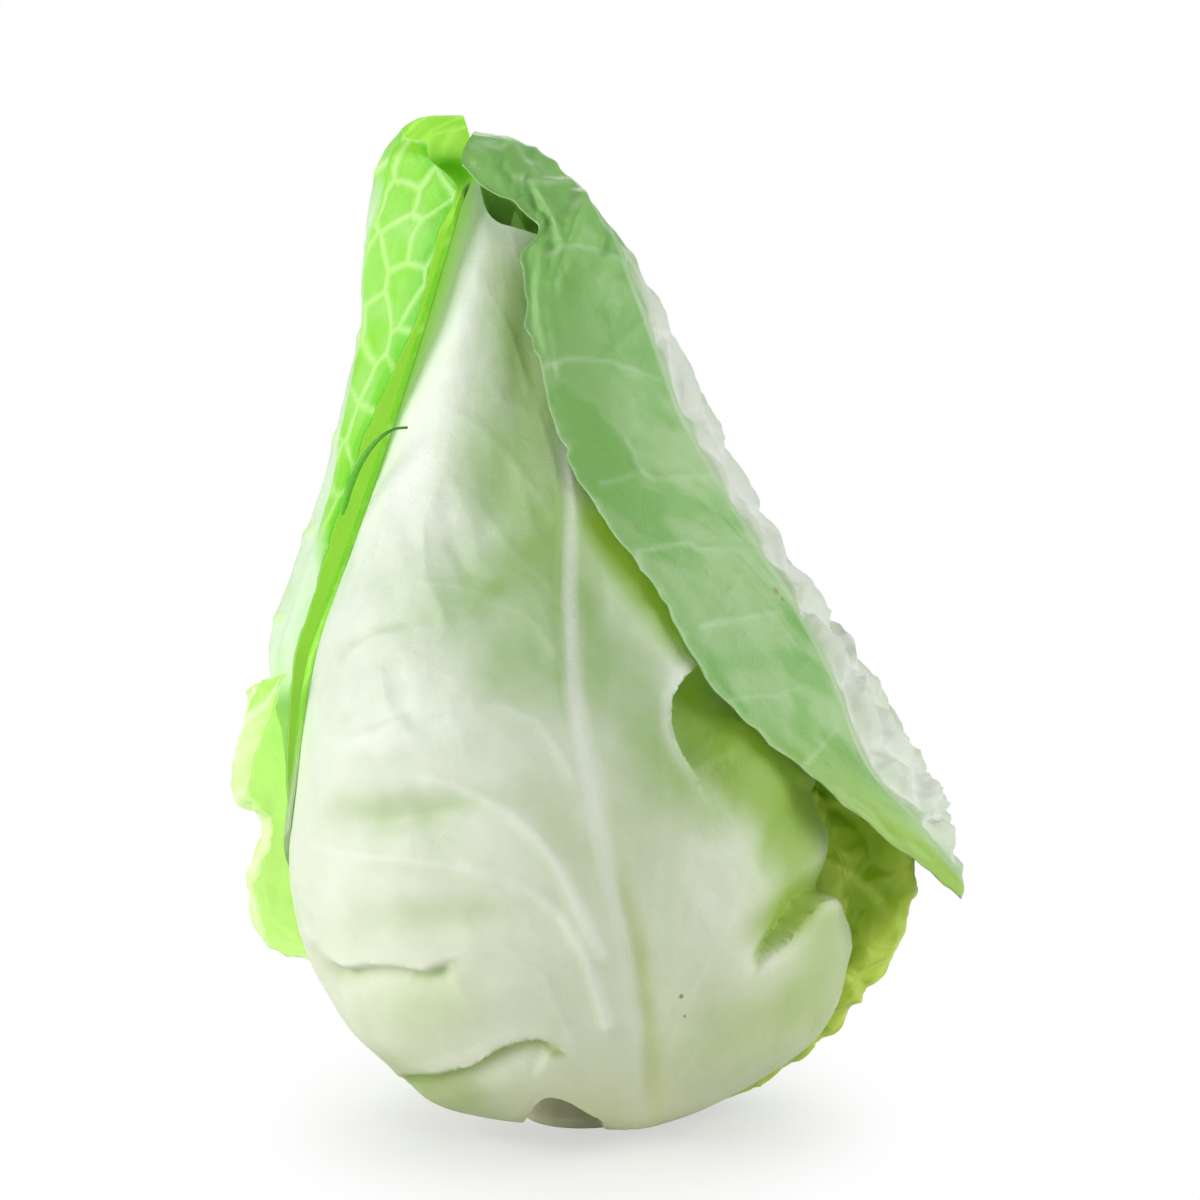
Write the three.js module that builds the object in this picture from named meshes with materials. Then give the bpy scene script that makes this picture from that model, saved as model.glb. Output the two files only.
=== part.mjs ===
// A pointed cabbage head, standing on the flat cut face of its stalk.
// Millimetres, +Z up, +X to the right and -Y to the front. The origin is the middle of the cut face.
//
// Every leaf is described on one guide surface, the outside of the wrapped head:
//   a  degrees round the head, 0 at the front and 90 at the right
//   s  millimetres up the side of the head, from the stalk outwards and upwards
//   d  millimetres that the middle of the leaf stands off the guide
// Places that show from the front are read there instead, as x across and v up.

import * as THREE from "three";

// Driving dimensions
const STALK_RADIUS = 13.6;
const STALK_HEIGHT = 13;
const BLADE = 1.2; // thickness of a leaf's blade
const SEAT = 2.6; // extra thickness of a leaf where it leaves the stalk
const SEAT_REACH = 34; // and how far from the stalk's axis that is lost
const HEART_INSET = 10; // how far the heart lies inside the guide
const FLATTENING = 0.93; // depth of the head to its width

// The side of the wrapped head: radius and height
const PROFILE = [
  [14.3, 2.4],
  [32, 5],
  [47, 14],
  [59.3, 28],
  [64.3, 55],
  [60.6, 82],
  [53, 109],
  [39, 141],
  [23.6, 180],
  [11, 211],
  [6, 223],
  [4, 238],
];

// The axis of the head leans to the left: height and x
const LEAN = [
  [0, 0],
  [30, 0.2],
  [55, -2.2],
  [82, -3.6],
  [109, -7],
  [141, -9.5],
  [180, -11.8],
  [211, -15],
  [240, -18],
];

// Where the front readings are taken from: an eye 900 mm away, 8 degrees above the level
const EYE_DISTANCE = 900;
const EYE_TILT = THREE.MathUtils.degToRad(8);
const EYE_AIM = new THREE.Vector3(4.3, 0, 119.7);
const READ_X = 2; // the readings' zero line is this far to the left of the stalk's axis

const clamp = THREE.MathUtils.clamp;
const lerp = THREE.MathUtils.lerp;
const smooth = THREE.MathUtils.smoothstep;
const radians = THREE.MathUtils.degToRad;
const bell = (t) => Math.exp(-t * t);

// A smooth curve through points of any length, at the place t counted in points
function through(points, t) {
  const last = points.length - 1;
  const place = clamp(t, 0, last);
  const i = Math.min(Math.floor(place), last - 1);
  const f = place - i;
  return points[i].map((_, k) => {
    const b = points[i][k];
    const c = points[i + 1][k];
    const a = i > 0 ? points[i - 1][k] : 2 * b - c;
    const e = i + 2 <= last ? points[i + 2][k] : 2 * c - b;
    return (
      0.5 *
      (2 * b + (c - a) * f + (2 * a - 5 * b + 4 * c - e) * f * f + (3 * b - a - 3 * c + e) * f ** 3)
    );
  });
}

// Straight lines through [key, value] pairs, at a key
function along(pairs, key) {
  if (key <= pairs[0][0]) return pairs[0][1];
  for (let i = 1; i < pairs.length; i++) {
    const [k0, y0] = pairs[i - 1];
    const [k1, y1] = pairs[i];
    if (key <= k1) return lerp(y0, y1, (key - k0) / (k1 - k0));
  }
  return pairs[pairs.length - 1][1];
}

// The same pairs with the corners rounded over a reach of keys
function eased(pairs, key, reach) {
  let sum = 0;
  for (const k of [-1, -0.5, 0, 0.5, 1]) sum += along(pairs, key + k * reach) * (k === 0 ? 2 : 1);
  return sum / 6;
}

// The profile measured off in equal steps of s
const STEP = 0.5;
const side = (() => {
  const fine = [];
  for (let i = 0; i <= 2400; i++) fine.push(through(PROFILE, (i / 2400) * (PROFILE.length - 1)));
  const out = [fine[0]];
  let run = 0;
  for (let i = 1; i < fine.length; i++) {
    run += Math.hypot(fine[i][0] - fine[i - 1][0], fine[i][1] - fine[i - 1][1]);
    if (run >= STEP * out.length) out.push(fine[i]);
  }
  return out;
})();

function sideAt(s) {
  const place = clamp(s / STEP, 0, side.length - 1.001);
  const i = Math.floor(place);
  const f = place - i;
  return [lerp(side[i][0], side[i + 1][0], f), lerp(side[i][1], side[i + 1][1], f)];
}

const lean = (z) => eased(LEAN, z, 9);

// The point of the guide at (a, s), stood off by d
function head(a, s, d) {
  const [r, z] = sideAt(s);
  const [r0, z0] = sideAt(s - 4);
  const [r1, z1] = sideAt(s + 4);
  const length = Math.hypot(r1 - r0, z1 - z0);
  const radius = r + (d * (z1 - z0)) / length;
  const height = z - (d * (r1 - r0)) / length;
  const turn = radians(a);
  return new THREE.Vector3(
    lean(height) + radius * Math.sin(turn),
    -radius * Math.cos(turn) * FLATTENING,
    height,
  );
}

// x and v of a point as the front readings give them
function seen(point) {
  const q = point.clone().sub(EYE_AIM);
  const up = q.y * Math.sin(EYE_TILT) + q.z * Math.cos(EYE_TILT);
  const near = q.z * Math.sin(EYE_TILT) - q.y * Math.cos(EYE_TILT);
  const scale = EYE_DISTANCE / (EYE_DISTANCE - near);
  return [q.x * scale + EYE_AIM.x - READ_X, up * scale + EYE_AIM.z];
}

// The point that shows at x and v from the front and stands d off the guide
function read(x, v, d) {
  let a = 0;
  let s = 20 + v;
  for (let i = 0; i < 40; i++) {
    const [px, pv] = seen(head(a, s, d));
    const [ax, av] = seen(head(a + 0.5, s, d)).map((n, k) => (n - [px, pv][k]) / 0.5);
    const [sx, sv] = seen(head(a, s + 0.5, d)).map((n, k) => (n - [px, pv][k]) / 0.5);
    const det = ax * sv - sx * av || 1e-6;
    a = clamp(a + clamp(((x - px) * sv - (v - pv) * sx) / det, -9, 9), -84, 84);
    s = clamp(s + clamp(((v - pv) * ax - (x - px) * av) / det, -9, 9), 1, 274);
  }
  return head(a, s, d);
}

// The point that shows at x and v from the front and lies at the depth y
function deep(x, v, y) {
  const point = new THREE.Vector3(x, y, v);
  for (let i = 0; i < 12; i++) {
    const [px, pv] = seen(point);
    point.x += x - px;
    point.z += v - pv;
  }
  return point;
}

// A leaf as a net of points, rows from the stalk to the tip and each row round the head the way a runs.
// A crease is the number of a column that the leaf is folded along. A rib is [u, height at the stalk].
function netLeaf(rows, crease, rib) {
  const net = rows.map((row) => row.map((p) => p.toArray()));
  const cut = (row, u) => {
    const t = u * (row.length - 1);
    if (crease === undefined) return through(row, t);
    return t <= crease ? through(row.slice(0, crease + 1), t) : through(row.slice(crease), t - crease);
  };
  const sheet = (u, v) => {
    const line = net.map((row) => cut(row, u));
    return new THREE.Vector3(...through(line, v * (net.length - 1)));
  };
  const normal = (u, v) => {
    const e = 2e-3;
    return sheet(Math.min(u + e, 1), v)
      .sub(sheet(Math.max(u - e, 0), v))
      .cross(sheet(u, Math.min(v + e, 1)).sub(sheet(u, Math.max(v - e, 0))))
      .normalize();
  };
  const at = (u, v) => {
    const [middle, height] = rib;
    const rise = height * (1 - v) * smooth(v, 0.08, 0.3);
    return sheet(u, v).addScaledVector(normal(u, v), rise * bell((u - middle) / 0.05));
  };
  return { at, off: normal };
}

// A leaf that lies on the guide, as a function of u and v that gives [a, s, d]
function wrappedLeaf(place) {
  const at = (u, v) => head(...place(u, v));
  const off = (u, v) => {
    const [a, s, d] = place(u, v);
    const e = 2e-3;
    const normal = at(Math.min(u + e, 1), v)
      .sub(at(Math.max(u - e, 0), v))
      .cross(at(u, Math.min(v + e, 1)).sub(at(u, Math.max(v - e, 0))))
      .normalize();
    const out = head(a, s, d + 1).sub(head(a, s, d)).normalize();
    return out.divideScalar(Math.max(Math.abs(normal.dot(out)), 0.6));
  };
  return { at, off };
}

// The closed solid of a leaf, thicker on its inside towards the stalk
function leafSolid({ at, off }, across, up) {
  const positions = [];
  const index = [];
  const row = across + 1;
  const layers = [1, -1].map((face) => {
    const first = positions.length / 3;
    for (let j = 0; j <= up; j++) {
      for (let i = 0; i <= across; i++) {
        const [u, v] = [i / across, j / up];
        const point = at(u, v);
        const seat = SEAT * bell(point.length() / SEAT_REACH);
        const shift = face > 0 ? BLADE / 2 : -BLADE / 2 - seat;
        positions.push(...point.addScaledVector(off(u, v), shift).toArray());
      }
    }
    return first;
  });
  const [outer, inner] = layers;
  const quad = (a, b, c, d) => index.push(a, b, c, a, c, d);
  for (let j = 0; j < up; j++) {
    for (let i = 0; i < across; i++) {
      const k = j * row + i;
      const corners = [k, k + 1, k + row + 1, k + row];
      index.push(...[0, 1, 2, 0, 2, 3].map((n) => outer + corners[n]));
      index.push(...[0, 2, 1, 0, 3, 2].map((n) => inner + corners[n]));
    }
  }
  const top = up * row;
  for (let i = 0; i < across; i++) {
    quad(inner + i, inner + i + 1, outer + i + 1, outer + i);
    quad(outer + top + i, outer + top + i + 1, inner + top + i + 1, inner + top + i);
  }
  for (let j = 0; j < up; j++) {
    const left = j * row;
    const right = left + across;
    quad(outer + left, outer + left + row, inner + left + row, inner + left);
    quad(inner + right, inner + right + row, outer + right + row, outer + right);
  }
  const geometry = new THREE.BufferGeometry();
  geometry.setAttribute("position", new THREE.Float32BufferAttribute(positions, 3));
  geometry.setIndex(index);
  if (volumeOf(geometry) < 0) throw new Error("a leaf is inside out");
  geometry.computeVertexNormals();
  return geometry;
}

function volumeOf(geometry) {
  const p = geometry.getAttribute("position");
  const k = geometry.index;
  const [a, b, c] = [new THREE.Vector3(), new THREE.Vector3(), new THREE.Vector3()];
  let sum = 0;
  for (let i = 0; i < k.count; i += 3) {
    a.fromBufferAttribute(p, k.getX(i));
    b.fromBufferAttribute(p, k.getX(i + 1));
    c.fromBufferAttribute(p, k.getX(i + 2));
    sum += a.dot(b.cross(c));
  }
  return sum / 6;
}

// How far a point lies beside a line drawn on the front, and how far along it
function beside(line, x, v) {
  let best = [1e9, 0];
  for (let i = 1; i < line.length; i++) {
    const [x0, v0] = line[i - 1];
    const [dx, dv] = [line[i][0] - x0, line[i][1] - v0];
    const f = clamp(((x - x0) * dx + (v - v0) * dv) / (dx * dx + dv * dv), 0, 1);
    const [ex, ev] = [x - x0 - f * dx, v - v0 - f * dv];
    const far = Math.hypot(ex, ev);
    if (far < Math.abs(best[0])) best = [dx * ev - dv * ex > 0 ? far : -far, (i - 1 + f) / (line.length - 1)];
  }
  return best;
}

// The folds of the front leaf: lines drawn on the front, where the leaf drops away on the left-hand side
// of the line as it is walked, by drop, and comes back over reach
const FRONT_FOLDS = [
  { line: [[21, 70], [19, 84], [18.5, 95], [20.5, 101], [27, 107]], drop: -6, reach: 15 },
  { line: [[36, 58], [42, 70], [46, 78], [47.5, 83]], drop: -3, reach: 9 },
  { line: [[36, 35], [40, 39.5], [46, 48], [51, 56], [58, 53]], drop: 5, reach: 7 },
  { line: [[-43, 11], [-35, 13], [-27, 14], [-18, 19], [-8, 18]], drop: -4, reach: 7 },
  { line: [[-60, 39], [-50, 37], [-38, 35.5], [-31, 38]], drop: 2.2, reach: 5 },
];

// Soft hollows of the front leaf, and one swelling at its lower left: middle, half-length, half-width, the
// angle of its length and depth
const FRONT_HOLLOWS = [
  { x: -42, v: 71, long: 17, wide: 4.5, turn: 12, deep: 2 },
  { x: -20, v: 150, long: 26, wide: 8, turn: 78, deep: 1.6 },
  { x: -30, v: 50, long: 20, wide: 5, turn: 4, deep: 1.2 },
  { x: -37, v: 6, long: 11, wide: 5, turn: -14, deep: -1.3 },
];

// Where the front leaf is drawn in at the lower left: the middle, the reach each way and the depth
const FRONT_TUCK = { a: -84, s: 45, turn: 24, tall: 15, deep: 3.4 };

// The white midrib of the front leaf, from the stalk up
const FRONT_RIB = [
  [10, -1], [9, 20], [7, 40], [2, 62], [-1.5, 80], [-5, 100], [-4.5, 120], [-4, 142], [-9, 180],
];

// The margins of the front leaf: a and s of its lower and upper margins, and s and a of its right margin
const FRONT_LOWER = [
  [-122, 70], [-100, 44], [-84, 38], [-68, 31.5], [-56, 24.5], [-42, 20], [-30, 17], [-24, 18],
  [-19, 24], [-15, 31], [-11, 36.5], [-8, 38.8], [-5, 38], [-2, 34.5], [3, 29.5], [8, 24.5],
  [10.5, 12], [12, 0.6], [34, 0.6], [38, 6], [50, 24], [62, 33], [84, 42],
];
const FRONT_UPPER = [
  [-122, 200], [-95, 246], [-60, 255], [-46, 250], [-24, 242], [10, 240], [50, 236], [84, 205],
];
const FRONT_RIGHT = [
  [20, 80], [46, 80], [54, 77], [61, 82], [69, 84], [78, 74], [86, 66], [92, 68], [98, 70],
  [104, 66], [125, 78],
];
const FRONT_LEFT = -122;
const FRONT_WIDEST = 84;

function frontLeaf(u, v) {
  const wide = lerp(FRONT_LEFT, FRONT_WIDEST, u);
  const low = eased(FRONT_LOWER, wide, 3);
  const s = lerp(low, eased(FRONT_UPPER, wide, 12), v);
  const margin = eased(FRONT_RIGHT, s, 4);
  const a = wide > 40 ? lerp(40, margin, (wide - 40) / (FRONT_WIDEST - 40)) : wide;
  const [x, y] = seen(head(a, s, 0));
  const tuck = bell((a - FRONT_TUCK.a) / FRONT_TUCK.turn) * bell((s - FRONT_TUCK.s) / FRONT_TUCK.tall);
  let d = -BLADE / 2 - FRONT_TUCK.deep * tuck;
  if (Math.abs(a) < 88) {
    for (const fold of FRONT_FOLDS) {
      const [off, place] = beside(fold.line, x, y);
      const away = off * Math.sign(fold.drop);
      const fade = smooth(place, 0, 0.3) * (1 - smooth(place, 0.9, 1));
      if (away > -2) d -= Math.abs(fold.drop) * fade * smooth(away, -2, 3) * bell(away / fold.reach);
    }
    for (const h of FRONT_HOLLOWS) {
      const turn = radians(h.turn);
      const [dx, dv] = [x - h.x, y - h.v];
      const lengthwise = (dx * Math.cos(turn) + dv * Math.sin(turn)) / h.long;
      const sideways = (dv * Math.cos(turn) - dx * Math.sin(turn)) / h.wide;
      d -= h.deep * bell(lengthwise) * bell(sideways);
    }
    const [off, place] = beside(FRONT_RIB, x, y);
    d += lerp(1.6, 0.3, place) * bell(off / lerp(6, 2.5, place));
  }
  return [a, s, d];
}

// The wrapper leaf round the back: a of its margins and what it stands off, from under the front leaf's
// right margin to over its left one
const BACK_LOWER = [
  [104, 60], [130, 42], [148, 30], [160, 6], [165, 0.6], [193, 0.6], [198, 6], [212, 34],
  [238, 62], [278, 96],
];
const BACK_UPPER = [[104, 215], [150, 242], [190, 250], [240, 250], [278, 240]];
const BACK_OFF = [
  [104, -0.6], [150, -0.8], [200, -0.4], [222, 1.1], [232, 1.75], [246, 1.6], [264, 1.3], [278, 1.3],
];

function backLeaf(u, v) {
  const a = lerp(104, 278, u);
  const s = lerp(eased(BACK_LOWER, a, 4), eased(BACK_UPPER, a, 12), v);
  const rib = bell((a - 182 + s * 0.02) / 6) * lerp(1.3, 0.2, s / 260);
  const clear = smooth(a, 104, 120) * (1 - smooth(a, 200, 225));
  const pucker = 0.5 * Math.sin(s / 13 + a / 17) * Math.sin(a / 9) * smooth(s, 40, 80) * clear;
  const tucked = -2.4 * (1 - smooth(s, 40, 120)) * (1 - smooth(a, 214, 230));
  return [a, s, eased(BACK_OFF, a, 8) + tucked + rib + pucker];
}

// The cape: the right outer leaf, folded forward over the front and the tip of the head and standing out
// in a point at the right. Its columns are the free edge, the middle of the flap, the crease, the outline
// and the three behind it.
const CAPE_CREASE = 2;
const CAPE = [
  [
    head(110, 0.6, 0), head(114, 0.6, 0), head(118, 0.6, 0), head(122, 0.6, 0), head(126, 0.6, 0),
    head(130, 0.6, 0), head(134, 0.6, 0),
  ],
  [
    head(107, 26, 1.6), head(112, 26, 1.7), head(117, 26, 1.8), head(123, 26, 2),
    head(130, 26, 2.2), head(138, 26, 2.4), head(146, 26, 2.4),
  ],
  [
    head(106, 44, 4.6), head(111, 44, 4.6), head(118, 44, 4.6), head(126, 44, 4.6),
    head(134, 43, 4.4), head(143, 42, 3.6), head(152, 42, 3.2),
  ],
  [
    head(107, 62, 8.6), head(112, 62, 8.4), head(119, 62, 8), head(128, 62, 7.4),
    head(138, 62, 6.2), head(150, 62, 4.6), head(162, 62, 3.6),
  ],
  [
    head(106, 86, 15), head(107, 86, 15.4), head(109, 87, 15.6), head(118, 86, 13),
    head(134, 86, 9), head(153, 86, 6), head(172, 86, 3.8),
  ],
  [
    deep(84, 52.4, -11), deep(84.2, 54, -8), deep(83.8, 56, -3), head(102, 97, 18),
    head(126, 100, 12), head(152, 102, 7), head(178, 104, 3.8),
  ],
  [
    read(65, 67, 12.5), read(70, 68, 15.5), read(74, 68.5, 18), head(92, 99, 20.2),
    head(122, 112, 13), head(152, 118, 7.4), head(184, 120, 3.8),
  ],
  [
    read(47.5, 82, 4.6), read(55, 83, 8), read(62, 83, 12.4), head(92, 114, 16), head(122, 128, 11.4),
    head(154, 134, 7), head(187, 136, 4),
  ],
  [
    read(30, 98, 2.9), read(43, 100, 6.2), read(55, 101, 11.4), head(92, 132, 11.6),
    head(122, 144, 9.4), head(155, 150, 6.6), head(189, 154, 4.2),
  ],
  [
    read(17, 119, 2.7), read(32, 120, 4.8), read(44.5, 120.5, 9), head(92, 151, 8.8),
    head(122, 162, 8.2), head(155, 170, 6.4), head(189, 174, 4.4),
  ],
  [
    read(2, 138.5, 2.7), read(18, 140, 4.4), read(32, 141, 7.8), head(92, 174, 8),
    head(122, 184, 7.8), head(154, 190, 6.4), head(188, 194, 4.6),
  ],
  [
    read(-8, 160, 2.7), read(6, 161, 4), read(20.5, 161, 6.6), head(93, 195, 7),
    head(122, 202, 7.4), head(153, 205, 6.4), head(185, 206, 5),
  ],
  [
    read(-13, 180, 2.7), read(0, 181, 4.2), read(12.8, 181, 6.8), head(94, 216, 7.2),
    head(122, 220, 7.4), head(152, 220, 6.6), head(182, 219, 5.4),
  ],
  [
    read(-15.5, 196, 3.2), read(-4, 198, 5.2), read(7, 196, 7.2), head(96, 232, 6.8),
    head(122, 232, 7.4), head(150, 231, 7.2), head(178, 230, 6.4),
  ],
  [
    deep(-12, 203, -17), deep(-5, 206, -15), deep(2.6, 205, -7), deep(3, 205, 4), deep(-0.6, 205, 12.6),
    deep(-8, 206, 18), deep(-18, 207, 19),
  ],
  [
    deep(-16.5, 209.6, -15), deep(-11.6, 214.4, -12), deep(-7, 216.2, -5), deep(-6.8, 216.4, 3),
    deep(-8, 216, 10), deep(-13.5, 215, 14), deep(-21, 214.5, 15),
  ],
  [
    deep(-22.5, 211.6, -13.8), deep(-20, 218.5, -10.5), deep(-16.6, 222.4, -4), deep(-16.2, 222.8, 2),
    deep(-17, 222.4, 7), deep(-19.4, 221.4, 10), deep(-23, 220, 11.5),
  ],
  [
    deep(-29, 218.4, -9.5), deep(-28.6, 221.6, -7), deep(-26.5, 225, -3), deep(-26, 225.6, 0.5),
    deep(-26.2, 225.6, 3.5), deep(-27, 224.6, 6), deep(-28, 223, 7.6),
  ],
];

// The left outer leaf, whose margin is folded forward in a strip. Its columns are the free edge, the
// crease, the outline, two behind it and the back margin.
const LEFT = [
  [
    head(-114, 0.6, 0), head(-119, 0.6, 0), head(-125, 0.6, 0), head(-131, 0.6, 0),
    head(-137, 0.6, 0), head(-142, 0.6, 0),
  ],
  [
    head(-125, 26, 1.6), head(-128, 26, 1.8), head(-132, 26, 2), head(-137, 26, 2.2),
    head(-142, 26, 2.4), head(-148, 26, 2.4),
  ],
  [
    head(-124, 43, 3), head(-127, 43, 3.1), head(-132, 43, 3.2), head(-138, 43, 3.2),
    head(-145, 43, 3.2), head(-153, 42, 3),
  ],
  [
    head(-122, 60, 3.4), head(-126, 60, 3.6), head(-132, 60, 3.8), head(-140, 60, 3.8),
    head(-149, 60, 3.6), head(-159, 59, 3.2),
  ],
  [
    head(-114, 78, 3.8), head(-118, 78, 4), head(-125, 78, 4.4), head(-135, 79, 4.4),
    head(-147, 79, 4), head(-161, 78, 3.5),
  ],
  [
    head(-104, 96, 4), head(-108, 97, 4.2), head(-116, 98, 4.6), head(-130, 98, 4.8),
    head(-146, 98, 4.2), head(-163, 97, 3.6),
  ],
  [
    head(-90, 128, 3.8), head(-95, 128, 7), head(-105, 128, 11.6), head(-124, 128, 10.6),
    head(-145, 128, 6.6), head(-166, 127, 3.8),
  ],
  [
    head(-82, 150, 4.2), head(-88, 150, 7), head(-102, 150, 11), head(-124, 150, 10.4),
    head(-146, 150, 6.8), head(-168, 149, 4),
  ],
  [
    head(-76, 172, 6), head(-88, 173, 8), head(-102, 173, 11.2), head(-124, 173, 10.6),
    head(-146, 173, 7.2), head(-169, 172, 4.4),
  ],
  [
    read(-50.4, 158, 6.2), deep(-55.6, 159, -3), head(-103, 194, 12.6), head(-124, 194, 11.6),
    head(-146, 194, 8), head(-170, 193, 5),
  ],
  [
    read(-41, 179, 6.4), deep(-51.4, 180, -2), head(-106, 214, 14.2), head(-126, 214, 12.8),
    head(-147, 214, 9.6), head(-170, 213, 6),
  ],
  [
    read(-36.5, 192, 7.2), deep(-51, 193, -2), head(-107, 228, 16.4), head(-127, 228, 14.4),
    head(-148, 228, 11), head(-171, 228, 7),
  ],
  [
    read(-33.5, 203, 8), deep(-49.6, 203, -2), deep(-49.6, 204, 6), deep(-42.6, 205, 14.4),
    deep(-33.5, 206, 19.6), deep(-23, 206.5, 20.5),
  ],
  [
    deep(-29.4, 213, -13), deep(-46, 213, -3), deep(-48.6, 213, 4), deep(-43.4, 215, 11.4),
    deep(-35.4, 216.6, 16), deep(-25.4, 217, 17.4),
  ],
  [
    deep(-36, 219.4, -9), deep(-44.4, 220, -3), deep(-46.4, 220.5, 2.6), deep(-43.4, 222.5, 7.6),
    deep(-37, 225, 11), deep(-29.6, 225.4, 12.6),
  ],
  [
    deep(-37, 223.4, -6), deep(-42.4, 224.6, -2.4), deep(-42.6, 226, 1), deep(-40.4, 227.6, 3.6),
    deep(-36.6, 229, 6.4), deep(-31, 230, 8),
  ],
];

// The low frilled leaf on the right, tucked under the front leaf's right margin
const RIGHT_CUP = [
  [head(58, 0.6, 0), head(66, 0.6, 0), head(78, 0.6, 0), head(90, 0.6, 0), head(103, 0.6, 0)],
  [head(54, 22, -3.6), head(64, 22, -2.6), head(76, 22, -1), head(89, 22, 0), head(101, 22, 0)],
  [head(66, 43, -5), head(78, 43, -3.8), head(90, 43, 0.2), head(101, 42, 1.2), head(108, 41, 1.4)],
  [head(67, 56, -6), head(80, 56, -3.6), head(90, 56, 0.8), head(101, 56, 2), head(109, 55, 2.4)],
  [head(68, 68, -7), head(83, 69, -2.8), head(92, 70, 8.8), head(102, 69, 8), head(111, 67, 4.2)],
  [head(66, 86, -7.2), head(82, 88, -3.4), head(92, 87, 14), head(104, 86, 11.4), head(114, 84, 5.8)],
  [head(64, 104, -7.2), head(80, 109, -4), head(90, 107, 11), head(102, 103, 11.4), head(113, 98, 6.4)],
];

// The low frilled leaf on the left, whose lobes stand out past the head
const LEFT_CUP = [
  [head(-84, 0.6, 0), head(-92, 0.6, 0), head(-100, 0.6, 0), head(-109, 0.6, 0)],
  [head(-97, 22, 0), head(-104, 22, 0), head(-111, 22, 0.2), head(-118, 22, 0.4)],
  [head(-108, 43, 1.6), head(-111, 43, 1.9), head(-114, 43, 2.3), head(-117, 43, 2.6)],
  [head(-109, 57, 2.4), head(-112, 57, 2.8), head(-115, 57, 3), head(-118, 57, 3.2)],
  [head(-92, 67, 7), head(-100, 69, 9), head(-109, 70, 8.6), head(-119, 69, 7)],
  [head(-89, 80, 8), head(-97, 80, 9.8), head(-108, 81, 9.2), head(-122, 81, 8.2)],
  [head(-88, 94, 3.6), head(-96, 94, 6.2), head(-108, 95, 8), head(-125, 96, 8.4)],
  [head(-84, 101, 10), head(-92, 102, 13.4), head(-106, 104, 12.6), head(-124, 105, 10.4)],
  [head(-82, 114, 8.4), head(-90, 115, 11.6), head(-104, 114, 13.4), head(-122, 113, 12.2)],
  [head(-77, 131, 5), head(-86, 127, 9), head(-99, 122, 13), head(-117, 119, 13)],
];

// The nets of the left-hand leaves are written from the front, so their rows are turned round
const LEFT_CREASE = LEFT[0].length - 2;
const turned = (rows) => rows.map((row) => [...row].reverse());

// The tight heart: a cone of folded leaves, each margin standing a little over the next
function heartSolid() {
  const around = 30;
  const rings = 22;
  const from = 44;
  const to = 252;
  const positions = [];
  const index = [];
  for (let j = 0; j <= rings; j++) {
    const s = lerp(from, to, j / rings);
    for (let i = 0; i < around; i++) {
      const a = (i * 360) / around;
      const turn = (((a + s * 0.9) % 120) + 120) % 120;
      const margin = 1.4 * (turn / 120) * smooth(j, 0, 3) * (1 - smooth(j, rings - 6, rings));
      positions.push(...head(a, s, -HEART_INSET + margin - 1.4).toArray());
    }
  }
  const foot = positions.length / 3;
  positions.push(0, 0, STALK_HEIGHT + 0.4);
  const tip = foot + 1;
  const crown = head(0, to, -HEART_INSET);
  positions.push(lean(crown.z + 2), 0, crown.z + 2);
  for (let i = 0; i < around; i++) {
    const next = (i + 1) % around;
    index.push(foot, next, i);
    index.push(rings * around + i, rings * around + next, tip);
    for (let j = 0; j < rings; j++) {
      const [p, q] = [j * around + i, j * around + next];
      index.push(p, q, q + around, p, q + around, p + around);
    }
  }
  const geometry = new THREE.BufferGeometry();
  geometry.setAttribute("position", new THREE.Float32BufferAttribute(positions, 3));
  geometry.setIndex(index);
  if (volumeOf(geometry) < 0) throw new Error("the heart is inside out");
  geometry.computeVertexNormals();
  return geometry;
}

// The cut stalk, a little waisted above its flat cut face
function stalkSolid() {
  const outline = [
    [0, 0],
    [STALK_RADIUS - 0.8, 0],
    [STALK_RADIUS, 0.8],
    [STALK_RADIUS, 2.4],
    [STALK_RADIUS - 2.4, 6.4],
    [STALK_RADIUS - 2.8, STALK_HEIGHT],
    [0, STALK_HEIGHT],
  ].map(([r, z]) => new THREE.Vector2(r, z));
  return new THREE.LatheGeometry(outline, 32).rotateX(Math.PI / 2);
}

const head_group = new THREE.Group();

function add(name, geometry, color, roughness) {
  const mesh = new THREE.Mesh(geometry, new THREE.MeshStandardMaterial({ color, roughness, metalness: 0 }));
  mesh.name = name;
  head_group.add(mesh);
}

add("stem", stalkSolid(), 0xe6e3c8, 0.6);
add("heart", heartSolid(), 0xdfe9c4, 0.55);
add("front_leaf", leafSolid(wrappedLeaf(frontLeaf), 32, 28), 0xdce8d0, 0.45);
add("back_leaf", leafSolid(wrappedLeaf(backLeaf), 20, 18), 0xcfe0bd, 0.45);
add("right_leaf", leafSolid(netLeaf(CAPE, CAPE_CREASE, [0.7, 2.4]), 20, 32), 0xa4c48a, 0.42);
add("right_cup_leaf", leafSolid(netLeaf(RIGHT_CUP, undefined, [0.5, 1.6]), 14, 16), 0xa9c64e, 0.45);
add("left_leaf", leafSolid(netLeaf(turned(LEFT), LEFT_CREASE, [0.3125, 2.2]), 16, 28), 0x9fd75a, 0.42);
add("left_cup_leaf", leafSolid(netLeaf(turned(LEFT_CUP), undefined, [0.5, 1.5]), 10, 20), 0xa6dc63, 0.45);

export default head_group;
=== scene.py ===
"""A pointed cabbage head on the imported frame, with its veined leaves, pale floor and soft light."""

import math

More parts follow.
